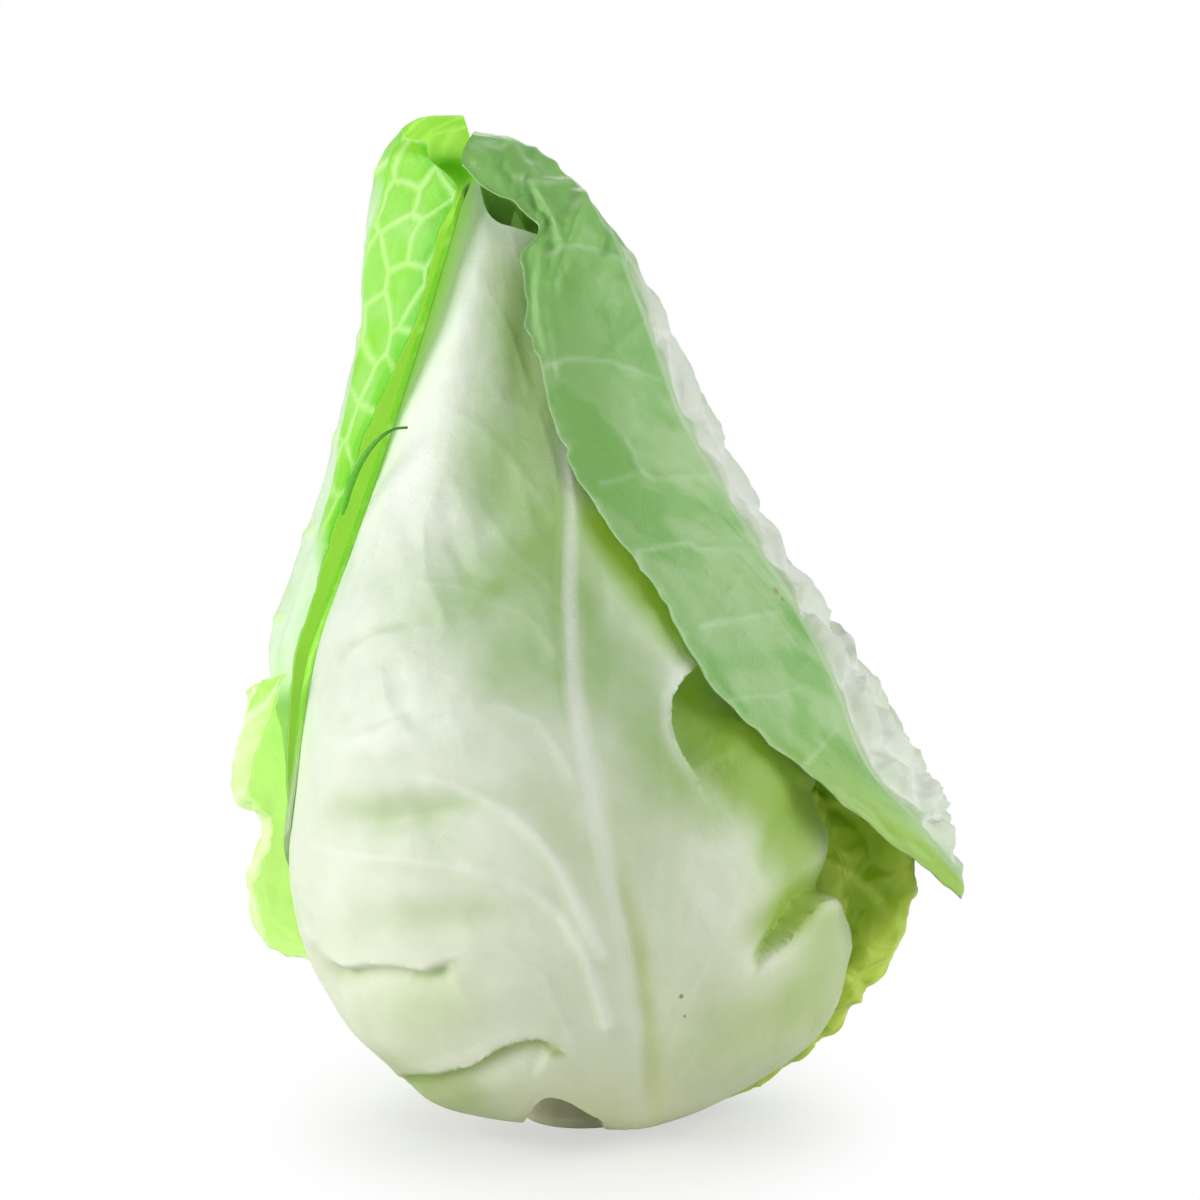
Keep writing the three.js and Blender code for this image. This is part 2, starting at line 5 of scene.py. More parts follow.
import bpy
import numpy as np
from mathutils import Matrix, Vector


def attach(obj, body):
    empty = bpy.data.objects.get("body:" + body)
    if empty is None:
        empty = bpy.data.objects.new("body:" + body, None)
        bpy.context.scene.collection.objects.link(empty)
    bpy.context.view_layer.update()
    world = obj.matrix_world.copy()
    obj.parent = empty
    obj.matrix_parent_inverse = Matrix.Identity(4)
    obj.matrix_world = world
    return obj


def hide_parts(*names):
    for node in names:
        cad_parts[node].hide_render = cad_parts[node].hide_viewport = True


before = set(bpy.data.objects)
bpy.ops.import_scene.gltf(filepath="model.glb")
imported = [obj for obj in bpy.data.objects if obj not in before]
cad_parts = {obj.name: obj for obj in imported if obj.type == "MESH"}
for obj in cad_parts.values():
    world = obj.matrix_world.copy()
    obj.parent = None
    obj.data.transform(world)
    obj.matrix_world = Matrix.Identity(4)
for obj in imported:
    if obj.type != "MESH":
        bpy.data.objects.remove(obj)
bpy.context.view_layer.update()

bl_info = {
    "name": "Pointed cabbage head",
    "version": (1, 0, 0),
    "blender": (4, 5, 0),
    "location": "View3D > Sidebar > Cabbage",
    "description": "Builds a pointed cabbage head leaf by leaf, with its stage",
    "category": "Object",
}

MM = 0.001

# The guide that every leaf is described on, in millimetres, as in the solid model:
#   a  degrees round the head, 0 at the front and 90 at the right
#   s  millimetres up the side of the head from the stalk
#   d  millimetres off the guide
STALK_RADIUS = 13.6
STALK_HEIGHT = 13
BLADE = 1.2  # thickness of a leaf
EDGE_BLADE = 0.5  # thickness of its margins
EDGE_REACH = 5  # width over which a margin thins out
SEAT = 2.6  # extra thickness where a leaf leaves the stalk
SEAT_REACH = 34  # distance from the stalk's foot over which that is lost
HEART_INSET = 10  # how far the heart lies inside the guide
FLATTENING = 0.93  # depth of the head as a share of its width

# The side of the wrapped head: radius and height
PROFILE = [
    [14.3, 2.4], [32, 5], [47, 14], [59.3, 28], [64.3, 55], [60.6, 82],
    [53, 109], [39, 141], [23.6, 180], [11, 211], [6, 223], [4, 238],
]

# How far to the right the head's middle stands: height and shift
LEAN = [
    [0, 0], [30, 0.2], [55, -2.2], [82, -3.6], [109, -7], [141, -9.5],
    [180, -11.8], [211, -15], [240, -18],
]

LEAN_REACH = 9  # height over which the lean's corners are rounded
PROFILE_POINTS = 2401  # points that the side is measured on
SIDE_STEP = 0.5  # distance between its points once measured
SLOPE_REACH = 4  # distance up and down the side that its slope is taken from

# The eye that the front readings are taken from, which is the camera
EYE_DISTANCE = 900
EYE_TILT = math.radians(8)
EYE_AIM = np.array([4.3, 0, 119.7])
EYE_FIELD = 271.9  # width of the view at the aim
READ_X = 2  # the readings' zero line is this far to the left of the stalk's axis

# How a reading is brought back to the guide, in steps that close in on it
READ_STEPS = 40
DEEP_STEPS = 12
NUDGE = 0.5
STRIDE = 9
READ_TURN = 84  # degrees to either side that a reading may lie
READ_RUN = (1, 274)  # and how far up the side


def smooth(t, low, high):
    t = np.clip((t - low) / (high - low), 0, 1)
    return t * t * (3 - 2 * t)


def bell(t):
    return np.exp(-t * t)


def lerp(a, b, t):
    return a + (b - a) * t


def through(points, t):
    """A smooth curve through points, at the places t counted in points."""
    points = np.asarray(points, float)
    ends = np.concatenate([2 * points[:1] - points[1:2], points, 2 * points[-1:] - points[-2:-1]])
    t = np.clip(np.asarray(t, float), 0, len(points) - 1)
    i = np.minimum(t.astype(int), len(points) - 2)
    f = (t - i)[..., None]
    a, b, c, e = (ends[i + k] for k in range(4))
    return 0.5 * (
        2 * b + (c - a) * f + (2 * a - 5 * b + 4 * c - e) * f**2 + (3 * b - a - 3 * c + e) * f**3
    )


def along(pairs, key):
    """Straight lines through pairs of key and value."""
    keys, values = zip(*pairs)
    return np.interp(key, keys, values)


def eased(pairs, key, reach):
    """Straight lines through pairs, with the corners rounded over a reach of keys."""
    parts = [along(pairs, key + k * reach) * (2 if k == 0 else 1) for k in (-1, -0.5, 0, 0.5, 1)]
    return sum(parts) / 6


def lean(height):
    return eased(LEAN, height, LEAN_REACH)


def measured_side():
    """The side of the head as points at equal distances."""
    fine = through(PROFILE, np.linspace(0, len(PROFILE) - 1, PROFILE_POINTS))
    run = np.concatenate([[0], np.cumsum(np.hypot(*np.diff(fine, axis=0).T))])
    return fine[np.searchsorted(run, np.arange(0, run[-1], SIDE_STEP))]


SIDE = measured_side()


def side_at(s):
    """Radius and height of the head's side, s up it."""
    place = np.clip(s / SIDE_STEP, 0, len(SIDE) - 1.001)
    i = place.astype(int)
    f = (place - i)[..., None]
    out = lerp(SIDE[i], SIDE[i + 1], f)
    return out[..., 0], out[..., 1]


def head(a, s, d):
    """The points of the guide at (a, s), stood off by d."""
    a, s, d = np.broadcast_arrays(*(np.asarray(k, float) for k in (a, s, d)))
    r, z = side_at(s)
    r0, z0 = side_at(s - SLOPE_REACH)
    r1, z1 = side_at(s + SLOPE_REACH)
    length = np.hypot(r1 - r0, z1 - z0)
    radius = r + d * (z1 - z0) / length
    height = z - d * (r1 - r0) / length
    turn = np.radians(a)
    x = lean(height) + radius * np.sin(turn)
    return np.stack([x, -radius * np.cos(turn) * FLATTENING, height], -1)


def seen(points):
    """Where points show from the front: millimetres across and up."""
    q = points - EYE_AIM
    up = q[..., 1] * math.sin(EYE_TILT) + q[..., 2] * math.cos(EYE_TILT)
    near = q[..., 2] * math.sin(EYE_TILT) - q[..., 1] * math.cos(EYE_TILT)
    scale = EYE_DISTANCE / (EYE_DISTANCE - near)
    return q[..., 0] * scale + EYE_AIM[0] - READ_X, up * scale + EYE_AIM[2]


def read(x, v, d):
    """The point that shows at x and v from the front and stands d off the guide."""
    a, s = 0.0, 20.0 + v
    for _ in range(READ_STEPS):
        px, pv = seen(head([a, a + NUDGE, a], [s, s, s + NUDGE], d))
        ax, sx = (px[1:] - px[0]) / NUDGE
        av, sv = (pv[1:] - pv[0]) / NUDGE
        det = ax * sv - sx * av or 1e-6
        turn = ((x - px[0]) * sv - (v - pv[0]) * sx) / det
        climb = ((v - pv[0]) * ax - (x - px[0]) * av) / det
        a = np.clip(a + np.clip(turn, -STRIDE, STRIDE), -READ_TURN, READ_TURN)
        s = np.clip(s + np.clip(climb, -STRIDE, STRIDE), *READ_RUN)
    return head(a, s, d)


def deep(x, v, y):
    """The point that shows at x and v from the front and lies at the depth y."""
    point = np.array([x, y, v], float)
    for _ in range(DEEP_STEPS):
        px, pv = seen(point)
        point += [x - px, 0, v - pv]
    return point


def beside(line, x, v):
    """How far points lie to the left of a line drawn on the front, and how far along it."""
    best = np.full(np.shape(x), 1e9)
    place = np.zeros(np.shape(x))
    for i, ((x0, v0), (x1, v1)) in enumerate(zip(line, line[1:])):
        dx, dv = x1 - x0, v1 - v0
        f = np.clip(((x - x0) * dx + (v - v0) * dv) / (dx * dx + dv * dv), 0, 1)
        ex, ev = x - x0 - f * dx, v - v0 - f * dv
        far = np.hypot(ex, ev)
        nearer = far < np.abs(best)
        best = np.where(nearer, np.where(dx * ev - dv * ex > 0, far, -far), best)
        place = np.where(nearer, (i + f) / (len(line) - 1), place)
    return best, place


TABLE_SIDE = 64
TABLE = np.random.default_rng(11).random((TABLE_SIDE, TABLE_SIDE, 3))


def noise(x, y, layer=0, octaves=1):
    """Smooth noise between -1 and 1, with one bump to a unit."""
    total, weight = 0, 0
    for k in range(octaves):
        px, py = x * 2**k + 17.3 * layer, y * 2**k + 9.1 * k
        i, j = np.floor(px).astype(int), np.floor(py).astype(int)
        f, g = smooth(px - i, 0, 1), smooth(py - j, 0, 1)
        t = TABLE[:, :, layer % 3]
        (low, left), (right, high) = (
            [t[(i + m) % TABLE_SIDE, (j + n) % TABLE_SIDE] for n in (0, 1)] for m in (0, 1)
        )
        value = lerp(lerp(low, right, f), lerp(left, high, f), g)
        total = total + (2 * value - 1) / 2**k
        weight += 1 / 2**k
    return total / weight


def cells(x, y, size, jitter=0.8):
    """Distance to the nearest line of an irregular net, whose meshes are of a size."""
    px, py = x / size, y / size
    i, j = np.floor(px).astype(int), np.floor(py).astype(int)
    near = far = [np.full(np.shape(px), 1e9)] * 3
    for m in range(-2, 3):
        for n in range(-2, 3):
            pick = TABLE[(i + m) % TABLE_SIDE, (j + n) % TABLE_SIDE]
            sx = i + m + 0.5 + jitter * (pick[..., 0] - 0.5) + 0.5 * ((j + n) % 2)
            sy = j + n + 0.5 + jitter * (pick[..., 1] - 0.5)
            r = np.hypot(px - sx, py - sy)
            first = r < near[0]
            second = ~first & (r < far[0])
            this = (r, sx, sy)
            far = [
                np.where(first, a, np.where(second, b, c)) for a, b, c in zip(near, this, far)
            ]
            near = [np.where(first, b, a) for a, b in zip(near, this)]
    apart = np.hypot(far[1] - near[1], far[2] - near[2]) + 1e-6
    return (far[0] ** 2 - near[0] ** 2) / (2 * apart) * size


# The folds of the front leaf. Each is a line drawn on the front, beside which the leaf drops away
# by drop within step. It comes back over reach, which is given for the line's first and last end,
# and shade is how much painted shade, darker and greener, it gets there.
FRONT_FOLDS = {
    "pocket": {
        "line": [
            [28, 70], [24, 80.5], [20.4, 86], [18.6, 91.6], [18.7, 97.4], [21, 101.5],
            [24.5, 104.9], [34, 113],
        ],
        "drop": -6, "reach": [11, 17], "step": 0.8, "shade": 0.5,
    },
    "soft_side": {
        "line": [[35, 54], [38.5, 64.4], [43, 73], [46.7, 81.8]],
        "drop": -2.6, "reach": [6, 11], "step": 5, "shade": 0.3,
    },
    "lobe": {
        "line": [
            [36, 33], [39.4, 38], [44, 42.2], [46.8, 45.5], [49.8, 50], [52.6, 52],
            [55.9, 52.5], [58.5, 50],
        ],
        "drop": 5, "reach": [2, 9], "step": 1.1, "shade": 1,
    },
    "overhang": {
        "line": [
            [-46, 10.5], [-41.6, 12], [-34.4, 12.5], [-26.3, 14.6], [-20.1, 18.3], [-15, 20],
            [-11, 20.2], [-7.5, 18.4],
        ],
        "drop": -2.6, "reach": [3, 6], "step": 0.8, "shade": 0.1,
    },
    "low_fold": {
        "line": [
            [-59.3, 39.6], [-57, 37.5], [-55.2, 36.3], [-50, 37.3], [-44.4, 37.1], [-37, 35.9],
            [-31.2, 38.8],
        ],
        "drop": -2.5, "reach": [5, 7], "step": 1.2, "shade": 0.2,
    },
}
LIP_STEP = 2  # a fold that drops away in less than this has a raised lip
LIP = {"high": 0.28, "wide": 1.6}

# Soft swellings and hollows of the front leaf as drawn on the front: middle across and up,
# half-length, half-width, angle and height
FRONT_WAVES = [
    [-42, 71, 17, 4.5, 12, -1.8],
    [-20, 150, 26, 8, 78, -1.6],
    [-30, 48, 20, 5, 4, -1.1],
    [-47, 138, 13, 6, 55, 1],
    [-30, 112, 17, 7, 14, -1.1],
    [-52, 84, 7, 6, 0, 1],
    [-34, 89, 20, 4, 10, 0.8],
    [-38, 25, 15, 7, 10, 1.5],
    [-49, 100, 12, 4, 20, 0.7],
    [24, 40, 22, 6, 80, -0.6],
    [-37, 6, 11, 5, -14, 1.3],
    [-29, 133, 14, 5, 42, -0.9],
    [-30, 178, 26, 4, 76, 0.9],
    [-14, 182, 20, 4, 84, -0.7],
    [-44, 132, 9, 4, 120, 0.7],
    [-38, 148, 14, 4, 68, -0.5],
]

# Where the front leaf is pressed in beside the left cup leaf, on the guide
FRONT_TUCK = {"a": -84, "s": 45, "turn": 24, "tall": 15, "deep": 3.4}

# The middle of its midrib as drawn on the front
FRONT_RIB = [
    [11, -1], [10, 20], [7.6, 40], [3.4, 60], [-0.6, 80], [-4, 100], [-4.8, 120], [-4.2, 142],
    [-9, 180],
]

# Its soft spots of colour as drawn on the front: middle across and up, half-length, half-width,
# angle and strength. First the green painted into its pocket as painted shade, then the green on its
# open surface, partly its own tone and partly painted shade in hollows and beside the cape.
FRONT_POCKET_SHADE = [
    [32, 90, 16, 12, -48, 1],
    [36, 77, 12, 8, -45, 0.9],
    [46, 67, 12, 9, 62, 0.95],
    [48, 57, 8, 7, 80, 0.75],
    [47, 46, 8, 5, 55, 0.9],
]
FRONT_GREENS_AND_SHADE = [
    [-17, 176, 30, 6, 100, 0.9],
    [-22, 153, 12, 7, 80, 0.45],
    [-14, 140, 30, 12, 108, 0.8],
    [-24, 122, 18, 10, 30, 0.7],
    [0, 112, 26, 9, -62, 0.6],
    [14, 88, 22, 8, 100, 0.6],
    [-15, 105, 14, 12, 0, 0.6],
    [-36, 72, 18, 4, 8, 0.55],
    [-50, 74, 9, 3, 10, 0.4],
    [-34, 49, 16, 3.4, 4, 0.35],
    [-34, 8, 16, 5, -12, 0.8],
    [-38, 28, 12, 7, 10, 0.4],
    [-6, 66, 16, 7, -60, 0.35],
    [8, 60, 30, 12, 100, 0.3],
    [50, 30, 16, 9, 60, 0.7],
    [33, 22, 20, 10, 30, 0.5],
    [54, 44, 12, 6, 80, 0.7],
    [26, 74, 10, 7, -40, 0.6],
    [18, 86, 15, 8, -56, 0.7],
    [-5, 135, 34, 8, 96, 0.35],
    [-48, 118, 26, 12, 60, 0.16],
    [-12, 120, 42, 14, 98, 0.25],
]

# Where it is painted white as painted light, where the left light falls on it
FRONT_PAINTED_LIGHT = [
    [-33, 186, 30, 7, 72, 1],
    [-40, 158, 18, 7, 66, 1],
    [-46, 146, 14, 9, 60, 1],
    [-55, 112, 12, 8, 70, 0.7],
    [-50, 88, 9, 4, 12, 0.8],
    [-58, 56, 10, 5, 90, 0.5],
    [-24, 66, 18, 4, -35, 0.4],
]

# Where it is painted a deep yellow-green as painted shade, in its pocket and folds
FRONT_DEEP_SHADE = [
    [48, 78, 9, 5, -60, 0.9],
    [43, 49, 9, 4, 38, 0.9],
    [45, 66, 10, 5, -60, 0.5],
    [38, 86, 13, 6.5, -42, 1],
    [25, 99, 7, 5, -55, 0.8],
    [32, 86, 13, 9, -48, 0.65],
    [40, 76, 9, 6, -45, 0.65],
    [50, 70, 10, 6, 60, 0.55],
    [47.5, 49, 7, 4, 50, 0.95],
    [51.5, 54.2, 5, 2.5, 20, 0.85],
]

# Its narrow creases as drawn on the front: line, half-width, height and greenness, which is painted
# shade in the crease
FRONT_CREASES = [
    [[[-34, 134], [-30.7, 130.2], [-29.4, 126.5], [-24, 123.4], [-17, 121]], 1.3, -0.16, 0.12],
    [[[-63, 43], [-60, 39], [-57, 36], [-52, 34.6]], 1.4, -0.25, 0.3],
    [[[-42, 34], [-37, 34], [-33, 35.4], [-29, 38.6]], 1.4, -0.25, 0.3],
    [[[-56, 104], [-55.5, 109], [-53, 111], [-47.6, 113.3], [-37.7, 114.5]], 1.2, -0.3, 0.2],
    [[[24, 62], [22, 52], [20.4, 42]], 1.2, -0.12, 0.04],
    [[[5.5, 60], [10, 42], [12.4, 25], [13, 4]], 1.3, -0.08, 0.4],
    [[[-8.5, 152], [-7.6, 138], [-7.4, 120], [-6.6, 100], [-3.8, 84]], 1.5, -0.12, 0.14],
    [[[-54, 86.5], [-50, 88.5], [-45, 90], [-40, 93]], 1.8, 0.5, 0],
]

# Its veins as drawn on the front: line, half-width, height and whiteness
FRONT_VEINS = [
    [
        [[2, 40], [-1, 47], [-6, 58], [-12, 66], [-18, 71], [-25, 75], [-32, 78], [-38, 79.5]],
        1.5, 1, 0.9,
    ],
    [
        [
            [4, 24], [-1, 40], [-6, 48], [-12, 53], [-20, 57], [-30, 59], [-40, 60.5],
            [-52, 61.5], [-63, 64],
        ],
        1.3, 0.9, 0.75,
    ],
    [
        [
            [-4, 80], [-8, 87], [-12, 92], [-19, 95], [-25, 95.6], [-32, 95.4], [-40, 93],
            [-50, 89.5],
        ],
        1.2, 0.6, 0.5,
    ],
    [[[-6, 104], [-12, 114], [-15, 117], [-21, 119], [-30, 123], [-42, 124]], 0.9, 0.35, 0.35],
    [[[-5, 118], [-10, 124], [-16, 129], [-26, 142], [-36, 152]], 0.9, 0.3, 0.25],
    [[[-6, 130], [-7, 140], [-8, 150], [-12, 164]], 0.9, 0.35, 0.3],
    [[[11, 30], [14, 50], [17, 72], [15, 96]], 0.9, 0.25, 0.2],
    [[[-4, 20], [-10, 34], [-20, 42], [-34, 46], [-52, 48]], 1, 0.35, 0.3],
    [[[0, 66], [4, 84], [5, 104], [3, 128]], 0.9, 0.25, 0.25],
    [[[13, 8], [20, 26], [30, 44], [36, 60]], 1, 0.25, 0.2],
    [[[12, 4], [28, 22], [44, 34], [56, 38]], 1, 0.25, 0.2],
    [
        [
            [-64, 45], [-61, 41], [-57, 38], [-52, 37], [-46, 37.2], [-40, 36], [-34, 37.4],
            [-28, 41],
        ],
        1.1, 0.5, 0.6,
    ],
    [[[-56, 106], [-50, 111], [-42, 113.6], [-30, 114]], 0.9, 0.3, 0.3],
    [[[-8, 138], [-16, 150], [-26, 160], [-34, 164]], 0.9, 0.3, 0.25],
    [[[-14, 168], [-18, 180], [-24, 192]], 0.9, 0.3, 0.25],
]

# Its margins on the guide: the lower and the upper one as s by a, the right one as a by s
FRONT_LOWER = [
    [-122, 70], [-100, 44], [-84, 38], [-68, 31.5], [-56, 24.5], [-42, 20], [-30, 17], [-24, 18],
    [-19, 24], [-15, 31], [-11, 36.5], [-8, 38.8], [-5, 38], [-2, 34.5], [3, 29.5], [8, 24.5],
    [10.5, 12], [12, 0.6], [34, 0.6], [38, 6], [50, 24], [62, 33], [84, 42],
]
FRONT_UPPER = [
    [-122, 200], [-95, 246], [-60, 255], [-46, 250], [-24, 242], [10, 240], [50, 236], [84, 205],
]
FRONT_RIGHT = [
    [20, 80], [46, 80], [54, 77], [61, 82], [69, 84], [78, 74], [86, 66], [92, 68], [98, 70],
    [104, 66], [125, 78],
]
FRONT_LEFT = -122
FRONT_WIDEST = 84
FRONT_STRAIGHT = 40  # degrees beyond which the grid's lines lean towards the right margin
FRONT_GRID = {"stops": [0, 0.2, 1], "across": [30, 250], "up": 280}
FRONT_MIDDLE = 8  # degrees of the leaf's middle
FRONT_RADIUS = 52  # radius that turns its degrees into millimetres

# The back leaf on the guide: its margins as s by a, its height off the guide as d by a, the middle
# of its midrib, and the grid
BACK_REACH = (104, 278)
BACK_GRID = {"across": 200, "up": 220}
BACK_LOWER = [
    [104, 60], [130, 42], [148, 30], [160, 6], [165, 0.6], [193, 0.6], [198, 6], [212, 34],
    [238, 62], [278, 96],
]
BACK_UPPER = [[104, 215], [150, 242], [190, 250], [240, 250], [278, 240]]
BACK_OFF = [
    [104, -0.6], [150, -0.8], [200, -0.4], [222, 1.1], [232, 1.75], [246, 1.6], [264, 1.3],
    [278, 1.3],
]
BACK_RIB = 182
# Its left margin is painted bright, deep lime and glowing, as painted light coming through
BACK_LIT_MARGIN = (246, 258)  # degrees over which its left margin turns bright

# The cape's free edge, where it lies over the front leaf, as drawn on the front
CAPE_EDGE = [
    [-15, 206], [-12, 202], [-15, 198], [-16, 192], [-14, 187], [-12.5, 179], [-11, 173],
    [-10, 166], [-5, 155], [2, 138.5], [10, 128], [17, 119], [23, 111.5], [27, 105], [30, 97.5],
    [32, 93.5], [38, 88], [44, 84.5], [47.5, 82],
]

# The nets of the outer leaves: rows from the stalk to the tip, each from the leaf's front margin to
# its back margin. A crease is the column that the leaf is folded along.
CAPE_CREASE = 2
CAPE = [
    head([110, 114, 118, 122, 126, 130, 134], 0.6, 0),
    head([107, 112, 117, 123, 130, 138, 146], 26, [1.6, 1.7, 1.8, 2, 2.2, 2.4, 2.4]),
    head(
        [106, 111, 118, 126, 134, 143, 152], [44, 44, 44, 44, 43, 42, 42],
        [4.6, 4.6, 4.6, 4.6, 4.4, 3.6, 3.2],
    ),
    head([107, 112, 119, 128, 138, 150, 162], 62, [8.6, 8.4, 8, 7.4, 6.2, 4.6, 3.6]),
    head(
        [106, 107, 109, 118, 134, 153, 172], [86, 86, 87, 86, 86, 86, 86],
        [15, 15.4, 15.6, 13, 9, 6, 3.8],
    ),
    [
        deep(84, 52.4, -11), deep(84.2, 54, -8), deep(83.8, 56, -3), head(102, 97, 18),
        head(126, 100, 12), head(152, 102, 7), head(178, 104, 3.8),
    ],
    [
        read(65, 67, 12.5), read(70, 68, 15.5), read(74, 68.5, 18), head(92, 99, 20.2),
        head(122, 112, 13), head(152, 118, 7.4), head(184, 120, 3.8),
    ],
    [
        read(47.5, 82, 4.6), read(55, 83, 8), read(62, 83, 12.4), head(92, 114, 16),
        head(122, 128, 11.4), head(154, 134, 7), head(187, 136, 4),
    ],
    [
        read(30, 98, 2.9), read(43, 100, 6.2), read(55, 101, 11.4), head(92, 132, 11.6),
        head(122, 144, 9.4), head(155, 150, 6.6), head(189, 154, 4.2),
    ],
    [
        read(17, 119, 2.7), read(32, 120, 4.8), read(44.5, 120.5, 9), head(92, 151, 8.8),
        head(122, 162, 8.2), head(155, 170, 6.4), head(189, 174, 4.4),
    ],
    [
        read(2, 138.5, 2.7), read(18, 140, 4.4), read(32, 141, 7.8), head(92, 174, 8),
        head(122, 184, 7.8), head(154, 190, 6.4), head(188, 194, 4.6),
    ],
    [
        read(-8, 160, 2.7), read(6, 161, 4), read(20.5, 161, 6.6), head(93, 195, 7),
        head(122, 202, 7.4), head(153, 205, 6.4), head(185, 206, 5),
    ],
    [
        read(-13, 180, 2.7), read(0, 181, 4.2), read(12.8, 181, 6.8), head(94, 216, 7.2),
        head(122, 220, 7.4), head(152, 220, 6.6), head(182, 219, 5.4),
    ],
    [
        read(-15.5, 196, 3.2), read(-4, 198, 5.2), read(7, 196, 7.2), head(96, 232, 6.8),
        head(122, 232, 7.4), head(150, 231, 7.2), head(178, 230, 6.4),
    ],
    [
        deep(-12, 203, -17), deep(-5, 206, -15), deep(2.6, 205, -7), deep(3, 205, 4),
        deep(-0.6, 205, 12.6), deep(-8, 206, 18), deep(-18, 207, 19),
    ],
    [
        deep(-16.5, 209.6, -15), deep(-11.6, 214.4, -12), deep(-7, 216.2, -5), deep(-6.8, 216.4, 3),
        deep(-8, 216, 10), deep(-13.5, 215, 14), deep(-21, 214.5, 15),
    ],
    [
        deep(-22.5, 211.6, -13.8), deep(-20, 218.5, -10.5), deep(-16.6, 222.4, -4),
        deep(-16.2, 222.8, 2), deep(-17, 222.4, 7), deep(-19.4, 221.4, 10), deep(-23, 220, 11.5),
    ],
    [
        deep(-29, 218.4, -9.5), deep(-28.6, 221.6, -7), deep(-26.5, 225, -3), deep(-26, 225.6, 0.5),
        deep(-26.2, 225.6, 3.5), deep(-27, 224.6, 6), deep(-28, 223, 7.6),
    ],
]
LEFT_CREASE = 1
LEFT = [
    head([-114, -119, -125, -131, -137, -142], 0.6, 0),
    head([-125, -128, -132, -137, -142, -148], 26, [1.6, 1.8, 2, 2.2, 2.4, 2.4]),
    head(
        [-124, -127, -132, -138, -145, -153], [43, 43, 43, 43, 43, 42],
        [3, 3.1, 3.2, 3.2, 3.2, 3],
    ),
    head(
        [-122, -126, -132, -140, -149, -159], [60, 60, 60, 60, 60, 59],
        [3.4, 3.6, 3.8, 3.8, 3.6, 3.2],
    ),
    head(
        [-114, -118, -125, -135, -147, -161], [78, 78, 78, 79, 79, 78],
        [3.8, 4, 4.4, 4.4, 4, 3.5],
    ),
    head(
        [-104, -108, -116, -130, -146, -163], [96, 97, 98, 98, 98, 97],
        [4, 4.2, 4.6, 4.8, 4.2, 3.6],
    ),
    head(
        [-90, -95, -105, -124, -145, -166], [128, 128, 128, 128, 128, 127],
        [3.8, 7, 11.6, 10.6, 6.6, 3.8],
    ),
    head(
        [-82, -88, -102, -124, -146, -168], [150, 150, 150, 150, 150, 149],
        [4.2, 7, 11, 10.4, 6.8, 4],
    ),
    head(
        [-76, -88, -102, -124, -146, -169], [172, 173, 173, 173, 173, 172],
        [6, 8, 11.2, 10.6, 7.2, 4.4],
    ),
    [
        read(-50.4, 158, 6.2), deep(-55.6, 159, -3), head(-103, 194, 12.6), head(-124, 194, 11.6),
        head(-146, 194, 8), head(-170, 193, 5),
    ],
    [
        read(-41, 179, 6.4), deep(-51.4, 180, -2), head(-106, 214, 14.2), head(-126, 214, 12.8),
        head(-147, 214, 9.6), head(-170, 213, 6),
    ],
    [
        read(-36.5, 192, 7.2), deep(-51, 193, -2), head(-107, 228, 16.4), head(-127, 228, 14.4),
        head(-148, 228, 11), head(-171, 228, 7),
    ],
    [
        read(-33.5, 203, 8), deep(-49.6, 203, -2), deep(-49.6, 204, 6), deep(-42.6, 205, 14.4),
        deep(-33.5, 206, 19.6), deep(-23, 206.5, 20.5),
    ],
    [
        deep(-29.4, 213, -13), deep(-46, 213, -3), deep(-48.6, 213, 4), deep(-43.4, 215, 11.4),
        deep(-35.4, 216.6, 16), deep(-25.4, 217, 17.4),
    ],
    [
        deep(-36, 219.4, -9), deep(-44.4, 220, -3), deep(-46.4, 220.5, 2.6),
        deep(-43.4, 222.5, 7.6), deep(-37, 225, 11), deep(-27.4, 225.4, 12.6),
    ],
    [
        deep(-37, 223.4, -6), deep(-42.4, 224.6, -2.4), deep(-42.6, 226, 1),
        deep(-40.4, 227.6, 3.6), deep(-36.6, 229, 6.4), deep(-28.6, 229.4, 9),
    ],
]
RIGHT_CUP = [
    head([58, 66, 78, 90, 103], 0.6, 0),
    head([54, 64, 76, 89, 101], 22, [-3.6, -2.6, -1, 0, 0]),
    head([66, 78, 90, 101, 108], [43, 43, 43, 42, 41], [-5, -3.8, 0.2, 1.2, 1.4]),
    head([67, 80, 90, 101, 109], [56, 56, 56, 56, 55], [-6, -3.6, 0.8, 2, 2.4]),
    head([68, 83, 92, 102, 111], [68, 69, 70, 69, 67], [-7, -2.8, 8.8, 8, 4.2]),
    head([66, 82, 92, 104, 114], [86, 88, 87, 86, 84], [-7.2, -3.4, 14, 11.4, 5.8]),
    head([64, 80, 90, 102, 113], [104, 109, 107, 103, 98], [-7.2, -4, 11, 11.4, 6.4]),
]
LEFT_CUP = [
    head([-84, -92, -100, -109], 0.6, 0),
    head([-97, -104, -111, -118], 22, [0, 0, 0.2, 0.4]),
    head([-108, -111, -114, -117], 43, [1.6, 1.9, 2.3, 2.6]),
    head([-109, -112, -115, -118], 57, [2.4, 2.8, 3, 3.2]),
    head([-92, -100, -109, -119], [67, 69, 70, 69], [7, 9, 8.6, 7]),
    head([-89, -97, -108, -122], [80, 80, 81, 81], [8, 9.8, 9.2, 8.2]),
    head([-88, -96, -108, -125], [94, 94, 95, 96], [3.6, 6.2, 8, 8.4]),
    head([-84, -92, -106, -124], [101, 102, 104, 105], [10, 13.4, 12.6, 10.4]),
    head([-82, -90, -104, -122], [114, 115, 114, 113], [8.4, 11.6, 13.4, 12.2]),
    head([-77, -86, -99, -117], [131, 127, 122, 119], [5, 9, 13, 13]),
]

